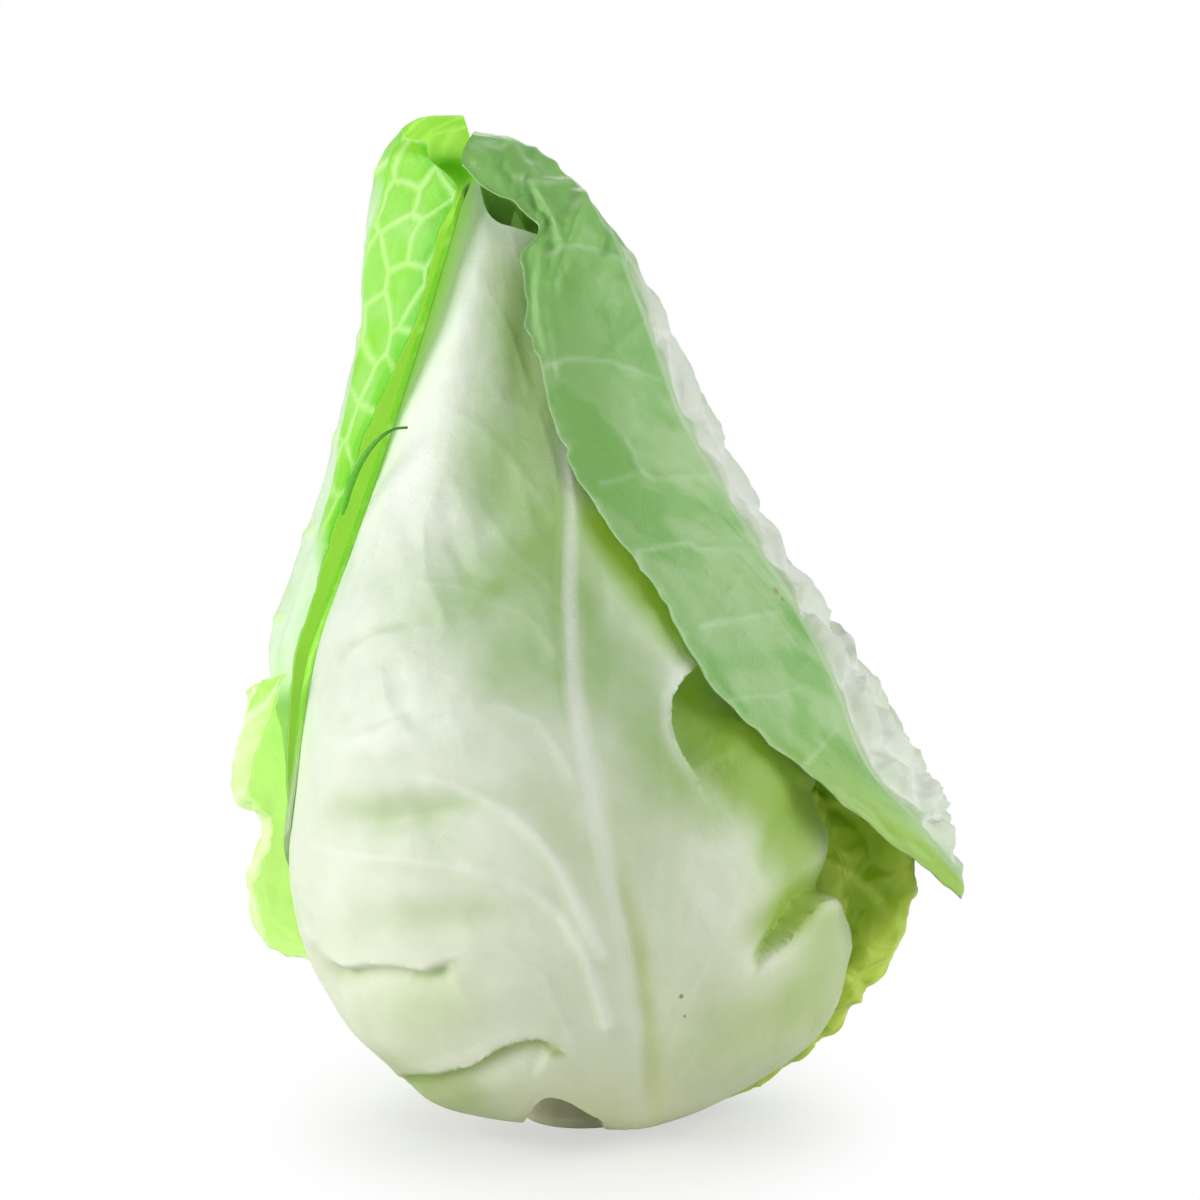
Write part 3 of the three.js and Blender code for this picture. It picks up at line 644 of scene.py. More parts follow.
# Where the grids of the cape and of the left leaf are denser: stops on the leaf, and steps between
CAPE_GRID = {"across": ([0, 2 / 6, 3 / 6, 1], [84, 40, 92]), "up": ([0, 5 / 17, 1], [60, 290])}
LEFT_GRID = {"across": ([0, 0.6, 0.8, 1], [64, 50, 86]), "up": ([0, 7 / 15, 1], [110, 170])}

# Veins of the cape as drawn on the front: line, half-width, height and whiteness
CAPE_VEINS = [
    [[[-17.7, 221.6], [-15, 218.2], [-11.6, 214.1], [-5.4, 213.9], [-2.7, 212.8]], 0.7, 0.5, 0.6],
    [[[-12.2, 212.1], [-9.5, 208], [-7.5, 203.9], [-6.8, 199.2]], 0.6, 0.4, 0.5],
    [[[-26.7, 222], [-24.5, 220.6], [-21.8, 218.8]], 0.6, 0.4, 0.5],
    [[[-16.3, 214.9], [-11, 213.5], [-3.9, 214], [-0.4, 213.1], [2.6, 209.6]], 0.8, 0.35, 0.7],
    [
        [[-9, 197.6], [-6.5, 199.1], [-3.9, 199.7], [0.5, 199], [4.9, 197], [8.9, 195]],
        0.9, 0.35, 0.75,
    ],
    [
        [[-10.5, 172.2], [-5.2, 174.2], [-0.4, 174], [4.1, 173.6], [10.2, 171.4], [16.4, 168.9]],
        0.9, 0.35, 0.8,
    ],
    [[[2.5, 145.9], [7, 147], [11, 148.6], [9.5, 152.5], [6.8, 157.3], [2, 162]], 0.85, 0.3, 0.7],
    [[[11, 148.6], [14, 146.8], [22, 147.4], [30, 148.2]], 0.85, 0.3, 0.65],
    [
        [[10.6, 130.4], [16, 131.6], [22.2, 132.6], [23.4, 131.2], [30, 131], [37, 130.7]],
        0.9, 0.35, 0.8,
    ],
    [[[25.2, 113.8], [33, 115], [41, 116.4], [45.5, 117.6]], 0.85, 0.3, 0.75],
    [[[31, 96.8], [36, 97.6], [42.3, 97.9], [49, 100.4]], 0.85, 0.3, 0.65],
    [[[48.5, 82.5], [51.5, 85.6], [55.5, 90.4]], 0.85, 0.3, 0.8],
    [[[13, 184], [7, 178], [2, 174]], 0.8, 0.2, 0.4],
    [[[24, 152], [18, 160], [9.5, 170.5]], 0.8, 0.2, 0.35],
    [[[37, 130.7], [33, 124], [27, 114]], 0.8, 0.2, 0.4],
    [[[52, 108], [47, 103], [42, 98]], 0.8, 0.2, 0.4],
    [[[76, 61], [68, 66], [60, 73], [54, 78]], 0.8, 0.25, 0.5],
]

# Creases and wrinkles of the cape as drawn on the front: line, half-width and height
CAPE_FOLDS = [
    [
        [
            [-3, 213.5], [-2.6, 209.6], [-4.3, 206], [-5.7, 200.7], [-7, 197.2], [-8.7, 191.9],
            [-9, 186],
        ],
        1.6, 1.3,
    ],
    [[[-28.4, 225], [-25.6, 222.4], [-23.3, 221.1], [-25, 219.4], [-27, 218]], 1.4, 0.9],
    [[[-15.5, 216], [-14.5, 214], [-12.3, 210.5], [-10.1, 206.9], [-8, 204]], 1.4, -1.3],
    [[[-21, 219], [-19.8, 217.5], [-16.3, 212.2], [-15.4, 210.5]], 1.2, -0.8],
    [[[-12.3, 202], [-11, 206], [-10.5, 210.5]], 1, 0.8],
    [[[-11, 203], [-11, 194.4], [-11.6, 187.6], [-9.5, 175.4], [-8, 168]], 1.5, 0.8],
    [[[-14.4, 198], [-13.8, 190], [-13.6, 182], [-11.6, 174]], 1.2, -0.35],
    [[[-12.2, 212.1], [-9.5, 208], [-7.5, 203.9], [-6.8, 199.2]], 1.1, 0.9],
    [[[-4.1, 212.5], [-4.1, 208], [-5.4, 203.3], [-6.1, 198.5]], 1.1, 0.8],
    [[[-20, 223], [-13, 220.6], [-7, 216.4]], 1.6, 0.7],
    [[[2, 209], [3, 203], [2, 197]], 1.2, -0.6],
    [[[-13, 176], [-8, 168], [-3, 157]], 1.6, 0.4],
    [[[56, 77], [64, 71], [72, 62]], 1.3, -0.5],
]

# The dark hollows inside the top of the left leaf, painted on as painted shade, given as the front
# leaf's spots are
LEFT_HOLLOW_SHADE = [[-32.5, 218, 5, 3, 0, 1], [-29, 216, 3, 4, 0, 0.8]]

# The torn curl at the left leaf's margin, as readings across, up and off the guide, its widest and
# its finest half-width, its flatness, and its points along and round
LEFT_CURL = [
    [-56.2, 139, 6.2], [-54.5, 145, 7.2], [-51.6, 151.4, 8.2], [-48, 156, 8.4],
    [-44.6, 158.3, 7], [-41.3, 158.8, 5.4],
]
CURL_WIDE, CURL_FINE, CURL_FLATNESS = 0.85, 0.3, 0.45
CURL_RINGS, CURL_SIDES = 60, 10

HEART_REACH = (44, 252)  # how far up the guide the heart starts and ends
HEART_RINGS, HEART_SIDES = 130, 180
STALK_RINGS, STALK_SIDES = 78, 144
STALK_EDGE = 0.02  # radius of the pinhole that the caps close
SHARP_ANGLE = math.radians(62)  # edges beyond this show as edges

# What the colours of a leaf follow, from 0 to 1 on its points: veins, which also carry painted light
# where a lamp falls; greener and deep green tissue, which also carry painted shade in folds and under
# overlapping leaves; warm tissue at the foot; a painted glow, as emission, where light would come
# through; hair; and thinness
FIELDS = ("vein", "green", "deep", "warm", "glow", "fuzz", "thin")

# The colours of leaf tissue that the settings hold, each as the settings describe it. Deep is also
# the colour of painted shade in folds and under overlapping leaves, and lit also the colour of the
# painted glow
TISSUES = {
    "pale": "Thick, pale tissue",
    "green": "Greener tissue",
    "deep": "Deep green tissue in folds and along margins",
    "vein": "Veins",
    "warm": "Tissue near the stalk",
    "lit": "Light that comes through thin tissue",
}

# The skins of the leaves: material, slot, colours as a picture's 0 to 255 (deep is also the colour of
# painted shade, and on the back leaf of its painted bright margin), roughness, how strongly the
# painted glow shines as emission, and brown specks as readings with a radius
SKINS = {
    "front_leaf": {
        "material": "pale_leaf_skin", "slot": "pale_leaf",
        "pale": (226, 234, 220), "green": (150, 186, 110), "deep": (124, 160, 26),
        "vein": (240, 244, 235), "warm": (218, 220, 152), "lit": (168, 214, 60),
        "rough": 0.46, "shine": 0.2, "speck": (138, 112, 70),
        "specks": [((20.8, 29.8, 0.2), 0.75), ((21.6, 25.3, 0.2), 0.6)],
    },
    "back_leaf": {
        "material": "back_leaf_skin", "slot": "pale_back_leaf",
        "pale": (220, 230, 204), "green": (156, 192, 116), "deep": (170, 232, 84),
        "vein": (238, 241, 226), "warm": (222, 212, 172), "lit": (176, 226, 90),
        "rough": 0.46, "shine": 0.28,
    },
    "right_leaf": {
        "material": "cape_leaf_skin", "slot": "cape_leaf",
        "pale": (196, 221, 172), "green": (132, 188, 100), "deep": (156, 198, 82),
        "vein": (245, 248, 242), "warm": (226, 218, 190), "lit": (120, 190, 20),
        "rough": 0.42, "shine": 0.3, "speck": (150, 120, 84),
        "specks": [((41.5, 121.4, 7.6), 1.6), ((43.2, 119.6, 8.2), 1.1)],
    },
    "left_leaf": {
        "material": "bright_leaf_skin", "slot": "bright_leaf",
        "pale": (208, 230, 198), "green": (132, 214, 38), "deep": (90, 198, 2),
        "vein": (206, 240, 156), "warm": (226, 218, 190), "lit": (190, 230, 96),
        "rough": 0.42, "shine": 0.8,
    },
    "right_cup_leaf": {
        "material": "shaded_leaf_skin", "slot": "shaded_leaf",
        "pale": (206, 226, 90), "green": (174, 212, 10), "deep": (140, 180, 0),
        "vein": (206, 226, 100), "warm": (224, 220, 180), "lit": (160, 204, 10),
        "rough": 0.36, "shine": 0.34,
    },
    "left_cup_leaf": {
        "material": "bright_cup_skin", "slot": "bright_cup_leaf",
        "pale": (218, 240, 180), "green": (152, 222, 60), "deep": (130, 214, 16),
        "vein": (226, 243, 198), "warm": (224, 220, 180), "lit": (206, 238, 140),
        "rough": 0.42, "shine": 0.66,
    },
    "heart": {
        "material": "heart_skin", "slot": "heart",
        "pale": (222, 228, 184), "green": (176, 204, 110), "deep": (160, 190, 80),
        "vein": (240, 242, 220), "warm": (228, 218, 184), "lit": (190, 220, 90),
        "rough": 0.46, "shine": 0.0,
    },
}
SPECK_STRENGTH = 0.8

WHITE = (1.0, 1.0, 1.0, 1.0)
BLACK = (0.0, 0.0, 0.0, 1.0)

# The lamps, in metres: name, place, width, and power as a share of the side or the front light
LAMPS = [
    ("left_light", (-1.0, -0.3, 0.45), 0.7, "key_power", 1),
    ("right_light", (1.0, -0.2, 0.5), 0.7, "key_power", 0.8),
    ("back_light", (0.0, 0.9, 0.8), 0.8, "key_power", 0.6),
    ("front_light", (-0.3, -1.5, 0.7), 1.2, "fill_power", 1),
]
SENSOR = 36  # the camera's sensor, in its own millimetres
CLIP = (0.05, 50)  # the nearest and the farthest that the camera sees, in metres


def run_along(points):
    """Distances along lines of points, from the first point of each."""
    steps = np.linalg.norm(np.diff(points, axis=0), axis=-1)
    return np.concatenate([np.zeros_like(steps[:1]), np.cumsum(steps, axis=0)])


class Sheet:
    """A leaf's middle on a grid, rows from the stalk and each row round the head, in millimetres.

    Its fields are what the colours follow, and inside holds the ones that differ on the inner face.
    """

    def __init__(self, points):
        self.points = points
        across = np.gradient(points, axis=1)
        upwards = np.gradient(points, axis=0)
        normal = np.cross(across, upwards)
        self.out = normal / (np.linalg.norm(normal, axis=-1, keepdims=True) + 1e-12)
        self.x, self.v = seen(points)
        self.fields = {}
        self.inside = {}

    def measured(self, u, start):
        """Millimetres across from the column nearest to start, and up that column."""
        run = run_along(self.points.transpose(1, 0, 2)).T
        column = int(np.argmin(np.abs(u - start)))
        up = run_along(self.points[:, column])
        return run - run[:, column : column + 1], np.repeat(up[:, None], len(u), axis=1)

    def raise_by(self, height):
        self.points = self.points + self.out * height[..., None]

    def paint(self, **fields):
        """Sets every field from 0 to 1, and those that aren't given to 0."""
        everywhere = np.zeros(self.x.shape)
        self.fields = {key: np.clip(fields.get(key, 0) + everywhere, 0, 1) for key in FIELDS}


def guide_sheet(a, s, d):
    """A leaf described on the guide, whose thickness is measured straight off the guide."""
    sheet = Sheet(head(a, s, d))
    step = head(a, s, d + 1) - sheet.points
    facing = np.abs((sheet.out * step).sum(-1))
    sheet.out = step / np.maximum(facing, 0.6)[..., None]
    return sheet


def turned(rows):
    """A net with its columns in the order in which they run round the head."""
    return [row[::-1] for row in rows]


def net_points(rows, crease, u, v):
    """The points of a net at the shares u across it and v up it, folded sharply at its crease."""
    net = np.array(rows)
    count, columns = net.shape[:2]
    lines = net.transpose(1, 0, 2).reshape(columns, -1)
    t = u * (columns - 1)
    if crease is None:
        cut = through(lines, t)
    else:
        before = through(lines[: crease + 1], np.minimum(t, crease))
        after = through(lines[crease:], np.maximum(t - crease, 0))
        cut = np.where((t <= crease)[:, None], before, after)
    across = cut.reshape(len(u), count, 3).transpose(1, 0, 2).reshape(count, -1)
    return through(across, v * (count - 1)).reshape(len(v), len(u), 3)


def net_places(rows, u, v):
    """The column and the row of a net at each point of the grid, counted from 0."""
    return np.meshgrid(u * (len(rows[0]) - 1), v * (len(rows) - 1))


def steps_between(stops, counts):
    """Places from 0 to 1 with a stated count of equal steps between each two stops."""
    parts = [np.linspace(a, b, n, endpoint=False) for a, b, n in zip(stops, stops[1:], counts)]
    return np.concatenate(parts + [[stops[-1]]])


def strongest(*layers):
    out = layers[0]
    for layer in layers[1:]:
        out = np.maximum(out, layer)
    return out


def span(t, rise, fall):
    """One between two places, with a soft rise before it and a soft fall after it."""
    return smooth(t, *rise) * (1 - smooth(t, *fall))


def wandering(p, q, amount, size, octaves=1):
    """Places shifted unevenly, so that what is drawn at them wanders."""
    return [k + amount * noise(p / size, q / size, n, octaves) for n, k in ((1, p), (2, q))]


def frayed(points, reach, amount):
    """A leaf's points, with its first margin going in and out by up to amount. The columns follow
    it up to the one numbered reach."""
    inward = points[:, reach : reach + 1] - points[:, :1]
    inward = inward / (np.linalg.norm(inward, axis=-1, keepdims=True) + 1e-9)
    run = run_along(points[:, 0])
    wave = 0.6 * noise(run / 7, run / 50, 1) + 0.4 * noise(run / 2.6, run / 40, 2)
    ends = smooth(np.minimum(run, run[-1] - run), 0, 20)
    share = 1 - smooth(np.arange(points.shape[1]) / reach, 0, 1)
    return points + inward * (amount * wave * ends)[:, None, None] * share[None, :, None]


def drawn(veins, x, v, where):
    """Height and whiteness of veins drawn on the front."""
    height, white = 0, 0
    for line, wide, high, pale in veins:
        off, place = beside(line, x, v)
        taper = (1 - 0.6 * place) * (1 - smooth(place, 0.93, 1)) * where
        wander = 1 + 0.25 * noise(x / 3, v / 3, 1)
        core = off / (wide * (1 - 0.4 * place) * wander)
        ridge = 0.5 * bell(core) + 0.5 * bell(core / 2.2)
        height = height + high * ridge * taper
        white = np.maximum(white, pale * ridge * (1 - 0.35 * place) * where)
    return height, white


def soft_spot(spot, x, v):
    """An oval drawn on the front that fades out from its middle."""
    cx, cv, long, broad, turn, strength = spot
    turn = math.radians(turn)
    dx, dv = x - cx, v - cv
    lengthwise = (dx * math.cos(turn) + dv * math.sin(turn)) / long
    sideways = (dv * math.cos(turn) - dx * math.sin(turn)) / broad
    return strength * bell(lengthwise) * bell(sideways)


def blots(spots, x, v):
    """Soft spots laid over each other."""
    out = 0
    for spot in spots:
        out = 1 - (1 - out) * (1 - soft_spot(spot, x, v))
    return out


def midrib(p, q, foot, tip, reach):
    """A rib at p = 0 whose half-width goes from foot to tip over a reach of q."""
    return bell(p / lerp(foot, tip, np.clip(q / reach, 0, 1)))


def feathered(p, q, spacing, slope, reach):
    """Side veins that leave a midrib at p = 0 like the barbs of a feather."""
    far = np.abs(p)
    stagger = np.where(p > 0, spacing / 2, 0)
    bow = q - far * slope + 0.006 * far**2 + 2.2 * noise(p / 17, q / 23, 2) + stagger
    away = np.abs((bow / spacing + 0.5) % 1 - 0.5) * spacing / math.hypot(1, slope)
    wide = 1.8 * (1 - 0.5 * np.clip(far / reach, 0, 1))
    return bell(away / wide) * (1 - smooth(far, 0.75 * reach, 1.2 * reach)) * smooth(q, 12, 30)


def rim_of(p, q):
    """Millimetres from each point of a grid to the leaf's free margins."""
    sides = np.minimum(np.abs(p - p[:, :1]), np.abs(p - p[:, -1:]))
    return np.minimum(sides, q[-1:, :] - q)


def blade(rim):
    """A leaf's thickness at a distance from its margins."""
    return lerp(EDGE_BLADE, BLADE, smooth(rim, 0, EDGE_REACH))


def quads(grid, flip=False):
    """The faces between the rows and columns of a grid of point numbers."""
    corners = [grid[:-1, :-1], grid[:-1, 1:], grid[1:, 1:], grid[1:, :-1]]
    if flip:
        corners.reverse()
    return np.stack([c.ravel() for c in corners], -1).tolist()


def tube(rings, sides):
    """The faces round a tube of rings of points."""
    grid = np.arange(rings * sides).reshape(rings, sides)
    return quads(np.concatenate([grid, grid[:, :1]], axis=1))


def capped_tube(rings, sides):
    last = (rings - 1) * sides
    return tube(rings, sides) + [list(range(sides))[::-1], list(range(last, last + sides))]


def leaf_solid(name, sheet):
    """The closed mesh of a leaf: a fine outside, an inside of every other line, thin margins."""
    half = blade(sheet.rim) / 2
    seat = SEAT * bell(np.linalg.norm(sheet.points, axis=-1) / SEAT_REACH)
    outer = sheet.points + sheet.out * half[..., None]
    inner = (sheet.points - sheet.out * (half + seat)[..., None])[::2, ::2]
    o = np.arange(outer[..., 0].size).reshape(outer.shape[:2])
    k = np.arange(inner[..., 0].size).reshape(inner.shape[:2]) + o.size
    faces = quads(o) + quads(k, flip=True)
    margins = [
        (o[0], k[0]), (o[-1, ::-1], k[-1, ::-1]), (o[::-1, 0], k[::-1, 0]), (o[:, -1], k[:, -1]),
    ]
    for fine, coarse in margins:
        for c in range(len(coarse) - 1):
            i = 2 * c
            faces.append([coarse[c], coarse[c + 1], fine[i + 2], fine[i + 1], fine[i]])
    points = np.concatenate([outer.reshape(-1, 3), inner.reshape(-1, 3)]) * MM
    fields = {
        key: np.concatenate([value.ravel(), sheet.inside.get(key, value)[::2, ::2].ravel()])
        for key, value in sheet.fields.items()
    }
    return mesh_piece(name, points, faces, fields)


def mesh_piece(name, points, faces, fields):
    """A piece made of points in metres and faces, with its fields as attributes."""
    mesh = bpy.data.meshes.new(name)
    mesh.from_pydata(points.tolist(), [], faces)
    for key, value in fields.items():
        attribute = mesh.attributes.new(key, "FLOAT", "POINT")
        attribute.data.foreach_set("value", np.clip(value, 0, 1).astype(np.float32))
    mesh.polygons.foreach_set("use_smooth", np.ones(len(mesh.polygons), bool))
    mesh.set_sharp_from_angle(angle=SHARP_ANGLE)
    mesh.update()
    piece = bpy.data.objects.new(name, mesh)
    bpy.context.scene.collection.objects.link(piece)
    return piece


def front_grid():
    """The front leaf's places on the guide, and how far each is above the lower margin."""
    u = steps_between(FRONT_GRID["stops"], FRONT_GRID["across"])
    across, up = np.meshgrid(u, np.linspace(0, 1, FRONT_GRID["up"] + 1))
    wide = lerp(FRONT_LEFT, FRONT_WIDEST, across)
    low = eased(FRONT_LOWER, wide, 2.4) + 0.5 * noise(wide / 4, wide / 9, 1, 2)
    s = lerp(low, eased(FRONT_UPPER, wide, 12), up)
    margin = eased(FRONT_RIGHT, s, 3) + 0.5 * noise(s / 5, s / 8, 2, 2)
    leant = (wide - FRONT_STRAIGHT) / (FRONT_WIDEST - FRONT_STRAIGHT)
    a = np.where(wide > FRONT_STRAIGHT, lerp(FRONT_STRAIGHT, margin, leant), wide)
    return a, s, s - low


def folded(d, x, y, front):
    """The front leaf's height off the guide with its folds, their painted shade and their raised
    lips.
    """
    shaded, lips = 0, 0
    for fold in FRONT_FOLDS.values():
        off, place = beside(fold["line"], x, y)
        away = off * np.sign(fold["drop"])
        fade = span(place, (0, 0.3), (0.88, 1)) * front
        side = smooth(away, -0.4 * fold["step"], fold["step"])
        drop = fade * side * bell(away / lerp(*fold["reach"], place))
        lip = fade * bell((away + LIP["wide"]) / LIP["wide"]) * (fold["step"] < LIP_STEP)
        lips = np.maximum(lips, lip)
        d = d + LIP["high"] * lip - abs(fold["drop"]) * drop
        shaded = np.maximum(shaded, drop * fold["shade"])
    return d, shaded, lips


def front_sheet(look):
    """The large pale leaf on the front: d is its height off the guide, and x and y are where it
    shows from the front."""
    a, s, above = front_grid()
    x, y = seen(head(a, s, 0))
    front = 1 - smooth(np.abs(a), 80, 92)
    free = smooth(a, -86, -70)
    tuck = bell((a - FRONT_TUCK["a"]) / FRONT_TUCK["turn"])
    tuck = tuck * bell((s - FRONT_TUCK["s"]) / FRONT_TUCK["tall"])
    d, shaded, lips = folded(-BLADE / 2 - FRONT_TUCK["deep"] * tuck, x, y, front)
    for wave in FRONT_WAVES:
        d = d + soft_spot(wave, x, y) * front * free
    crease_shade = 0
    for line, broad, high, green in FRONT_CREASES:
        off, place = beside(line, x, y)
        groove = bell(off / broad) * span(place, (0, 0.12), (0.85, 1)) * front
        d = d + high * groove
        crease_shade = np.maximum(crease_shade, green * groove)

    # The midrib: a low swell under a narrow ridge with fine streaks, and the drawn veins
    off, place = beside(FRONT_RIB, x, y)
    d = d + lerp(1, 0.35, place) * bell(off / lerp(8.5, 3.4, place))
    streak = noise(off / 0.9, y / 16, 2)
    rib = bell(off / (lerp(5, 1.7, place) * (1 + 0.3 * streak))) * front * (1 - smooth(y, 148, 170))
    d = d + 0.12 * rib * streak
    height, white = drawn(FRONT_VEINS, x, y, front)
    d = d + height * look.vein_relief

    # The tissue between the veins: a swollen net, broad swellings and satin crumples
    p, q = np.radians(a - FRONT_MIDDLE) * FRONT_RADIUS, s
    edge = cells(*wandering(p, q, 3, 20), 13)
    net = bell(edge / 0.8) * smooth(np.abs(off), 4, 14) * (1 - smooth(s, 150, 190))
    calm = (1 - 0.4 * smooth(-y, -60, -10) * front) * (1 - 0.75 * smooth(s, 165, 215))
    crumple = 0.5 - np.abs(noise(p / 15 + q / 40, q / 19, 0, 2))
    swell = 0.16 * smooth(edge, 0, 6) + 0.5 * noise(p / 22, q / 28, 1, 2) + crumple
    d = d + swell * calm * free * smooth(q, 30, 60) * look.net_relief
    sheet = guide_sheet(a, s, d)
    sheet.rim = np.minimum(rim_of(p, q), above)

    # Painted shadow, green and a painted glow under the cape's free edge, low and high on the leaf
    near_cape = np.minimum(beside(CAPE_EDGE, x, y)[0] + 1, 0)
    low_cape = span(y, (96, 112), (136, 150)) * front
    high_cape = span(y, (130, 145), (190, 208)) * front
    cape_shadow = strongest(
        0.95 * bell(near_cape / 8) * low_cape, 0.8 * bell(near_cape / 9) * high_cape
    )
    # Painted shade under the overhang, beside the midrib, and on the leaf's sides
    lip_off, lip_place = beside(FRONT_FOLDS["overhang"]["line"], x, y)
    lip_shadow = bell((-lip_off - 1) / 1.3) * front * smooth(lip_place, 0.02, 0.2)
    rib_shade = bell((off + lerp(4.4, 2, place)) / 1.6) * (1 - smooth(y, 40, 74)) * front
    sides = smooth(np.abs(a), 70, 110)
    # The drawn colours, which stop at the pocket's rim: painted shade in the pocket and the lobes
    # below it, and green that is partly the leaf's own tone and partly painted shade
    within = smooth(-beside(FRONT_FOLDS["pocket"]["line"], x, y)[0], -0.5, 0.7)
    open_side = lerp(1, within, span(y, (79, 91), (106, 112)))
    wander = wandering(x, y, 2.4, 9, 2)
    greens_and_shade = blots(FRONT_GREENS_AND_SHADE, *wander) * front
    pocket_shade = blots(FRONT_POCKET_SHADE, x, y) * front * open_side
    deep_shade_and_light = blots(FRONT_DEEP_SHADE, x, y) * front * open_side
    mottle = smooth(noise(p / 11, q / 14, 0, 3), 0.05, 0.8)
    foot = 0.6 * bell(y / 13) * bell((x - 4) / 24) + 0.4 * (1 - smooth(y, 20, 120))
    sheet.paint(
        vein=strongest(
            rib * lerp(0.35, 0.6, smooth(place, 0.1, 0.5)),
            0.8 * white,
            0.1 * net,
            0.2 * lips,
            0.12 * smooth(crumple, 0.35, 0.5) * free * (1 - deep_shade_and_light),
            # painted light: white where the left light falls on the leaf
            0.72 * blots(FRONT_PAINTED_LIGHT, *wander) * front,
        ),
        green=(
            strongest(pocket_shade, greens_and_shade, smooth(shaded, 0, 0.5), 0.9 * cape_shadow)
            + 0.14 * mottle * free
            + 0.08 * noise(p / 4 + q / 12, q / 6, 1, 3) * free
            + 0.25 * rib_shade
            + 0.8 * crease_shade
            + 0.7 * lip_shadow
            + 0.2 * sides
            - 0.35 * lips
        ),
        deep=(
            strongest(
                deep_shade_and_light,
                smooth(shaded, 0.3, 1),
                0.9 * bell(near_cape / 5) * low_cape,
                0.4 * bell(near_cape / 5) * high_cape,
            )
            + 0.4 * crease_shade
            + 0.45 * lip_shadow
            + 0.25 * greens_and_shade * (1 - smooth(y, 26, 60))
        ),
        warm=foot * front + 0.4 * rib_shade,
        # a painted glow in the pocket and under the cape's low edge
        glow=0.5 * deep_shade_and_light + 0.2 * pocket_shade + 0.9 * bell(near_cape / 7) * low_cape,
        fuzz=rib * span(y, (86, 100), (146, 156)),
        thin=0.08 + 0.1 * deep_shade_and_light,
    )
    return sheet


def back_sheet(look):
    """The leaf that wraps the back. Its left margin hugs the front leaf, is thin, and is painted
    bright with a painted glow.
    """
    across, up = np.meshgrid(*(np.linspace(0, 1, BACK_GRID[way] + 1) for way in ("across", "up")))
    a = lerp(*BACK_REACH, across)
    low = eased(BACK_LOWER, a, 4) + 0.7 * noise(a / 5, a / 11, 1, 2)
    s = lerp(low, eased(BACK_UPPER, a, 12), up)
    clear = span(a, (104, 120), (200, 225))
    pucker = 0.5 * np.sin(s / 13 + a / 17) * np.sin(a / 9) * smooth(s, 40, 80) * clear
    tucked = -2.4 * (1 - smooth(s, 40, 120)) * (1 - smooth(a, 214, 230))
    from_rib = a - BACK_RIB + s * 0.02
    radius, _ = side_at(s)
    p, q = np.radians(from_rib) * radius, s
    rim = rim_of(p, q)
    hugging = 0.14 + blade(rim) / 2
    off = lerp(eased(BACK_OFF, a, 8), hugging, smooth(a, 244, 258))
    d = off + tucked + pucker + bell(from_rib / 6) * lerp(1.3, 0.2, s / 260)
    rib = midrib(p, q, 3.4, 0.9, 230)
    side = feathered(p, q, 26, 0.75, 70)
    edge = cells(*wandering(p, q, 2, 14), 11)
    fine = 0.5 * side + 0.35 * smooth(edge, 0, 4) * clear + 0.12 * rib * noise(p / 0.9, q / 16, 2)
    d = d + fine * look.vein_relief * (1 - smooth(a, 235, 250))
    sheet = guide_sheet(a, s, d)
    sheet.rim = rim
    margin = smooth(a, *BACK_LIT_MARGIN)
    mottle = smooth(noise(p / 9, q / 12, 0, 3), 0, 0.7)
    # The bright left margin is painted: deep in a bright lime, and glowing, as light coming through
    # it
    sheet.paint(
        vein=strongest(rib, 0.9 * side, 0.45 * bell(edge / 0.7)),
        green=0.25 + 0.35 * mottle + 0.3 * smooth(s, 120, 220),
        deep=margin * smooth(s, 100, 125),
        warm=bell(s / 20),
        glow=margin * smooth(s, 100, 125),
        thin=0.12 + 0.25 * margin,
    )
    return sheet


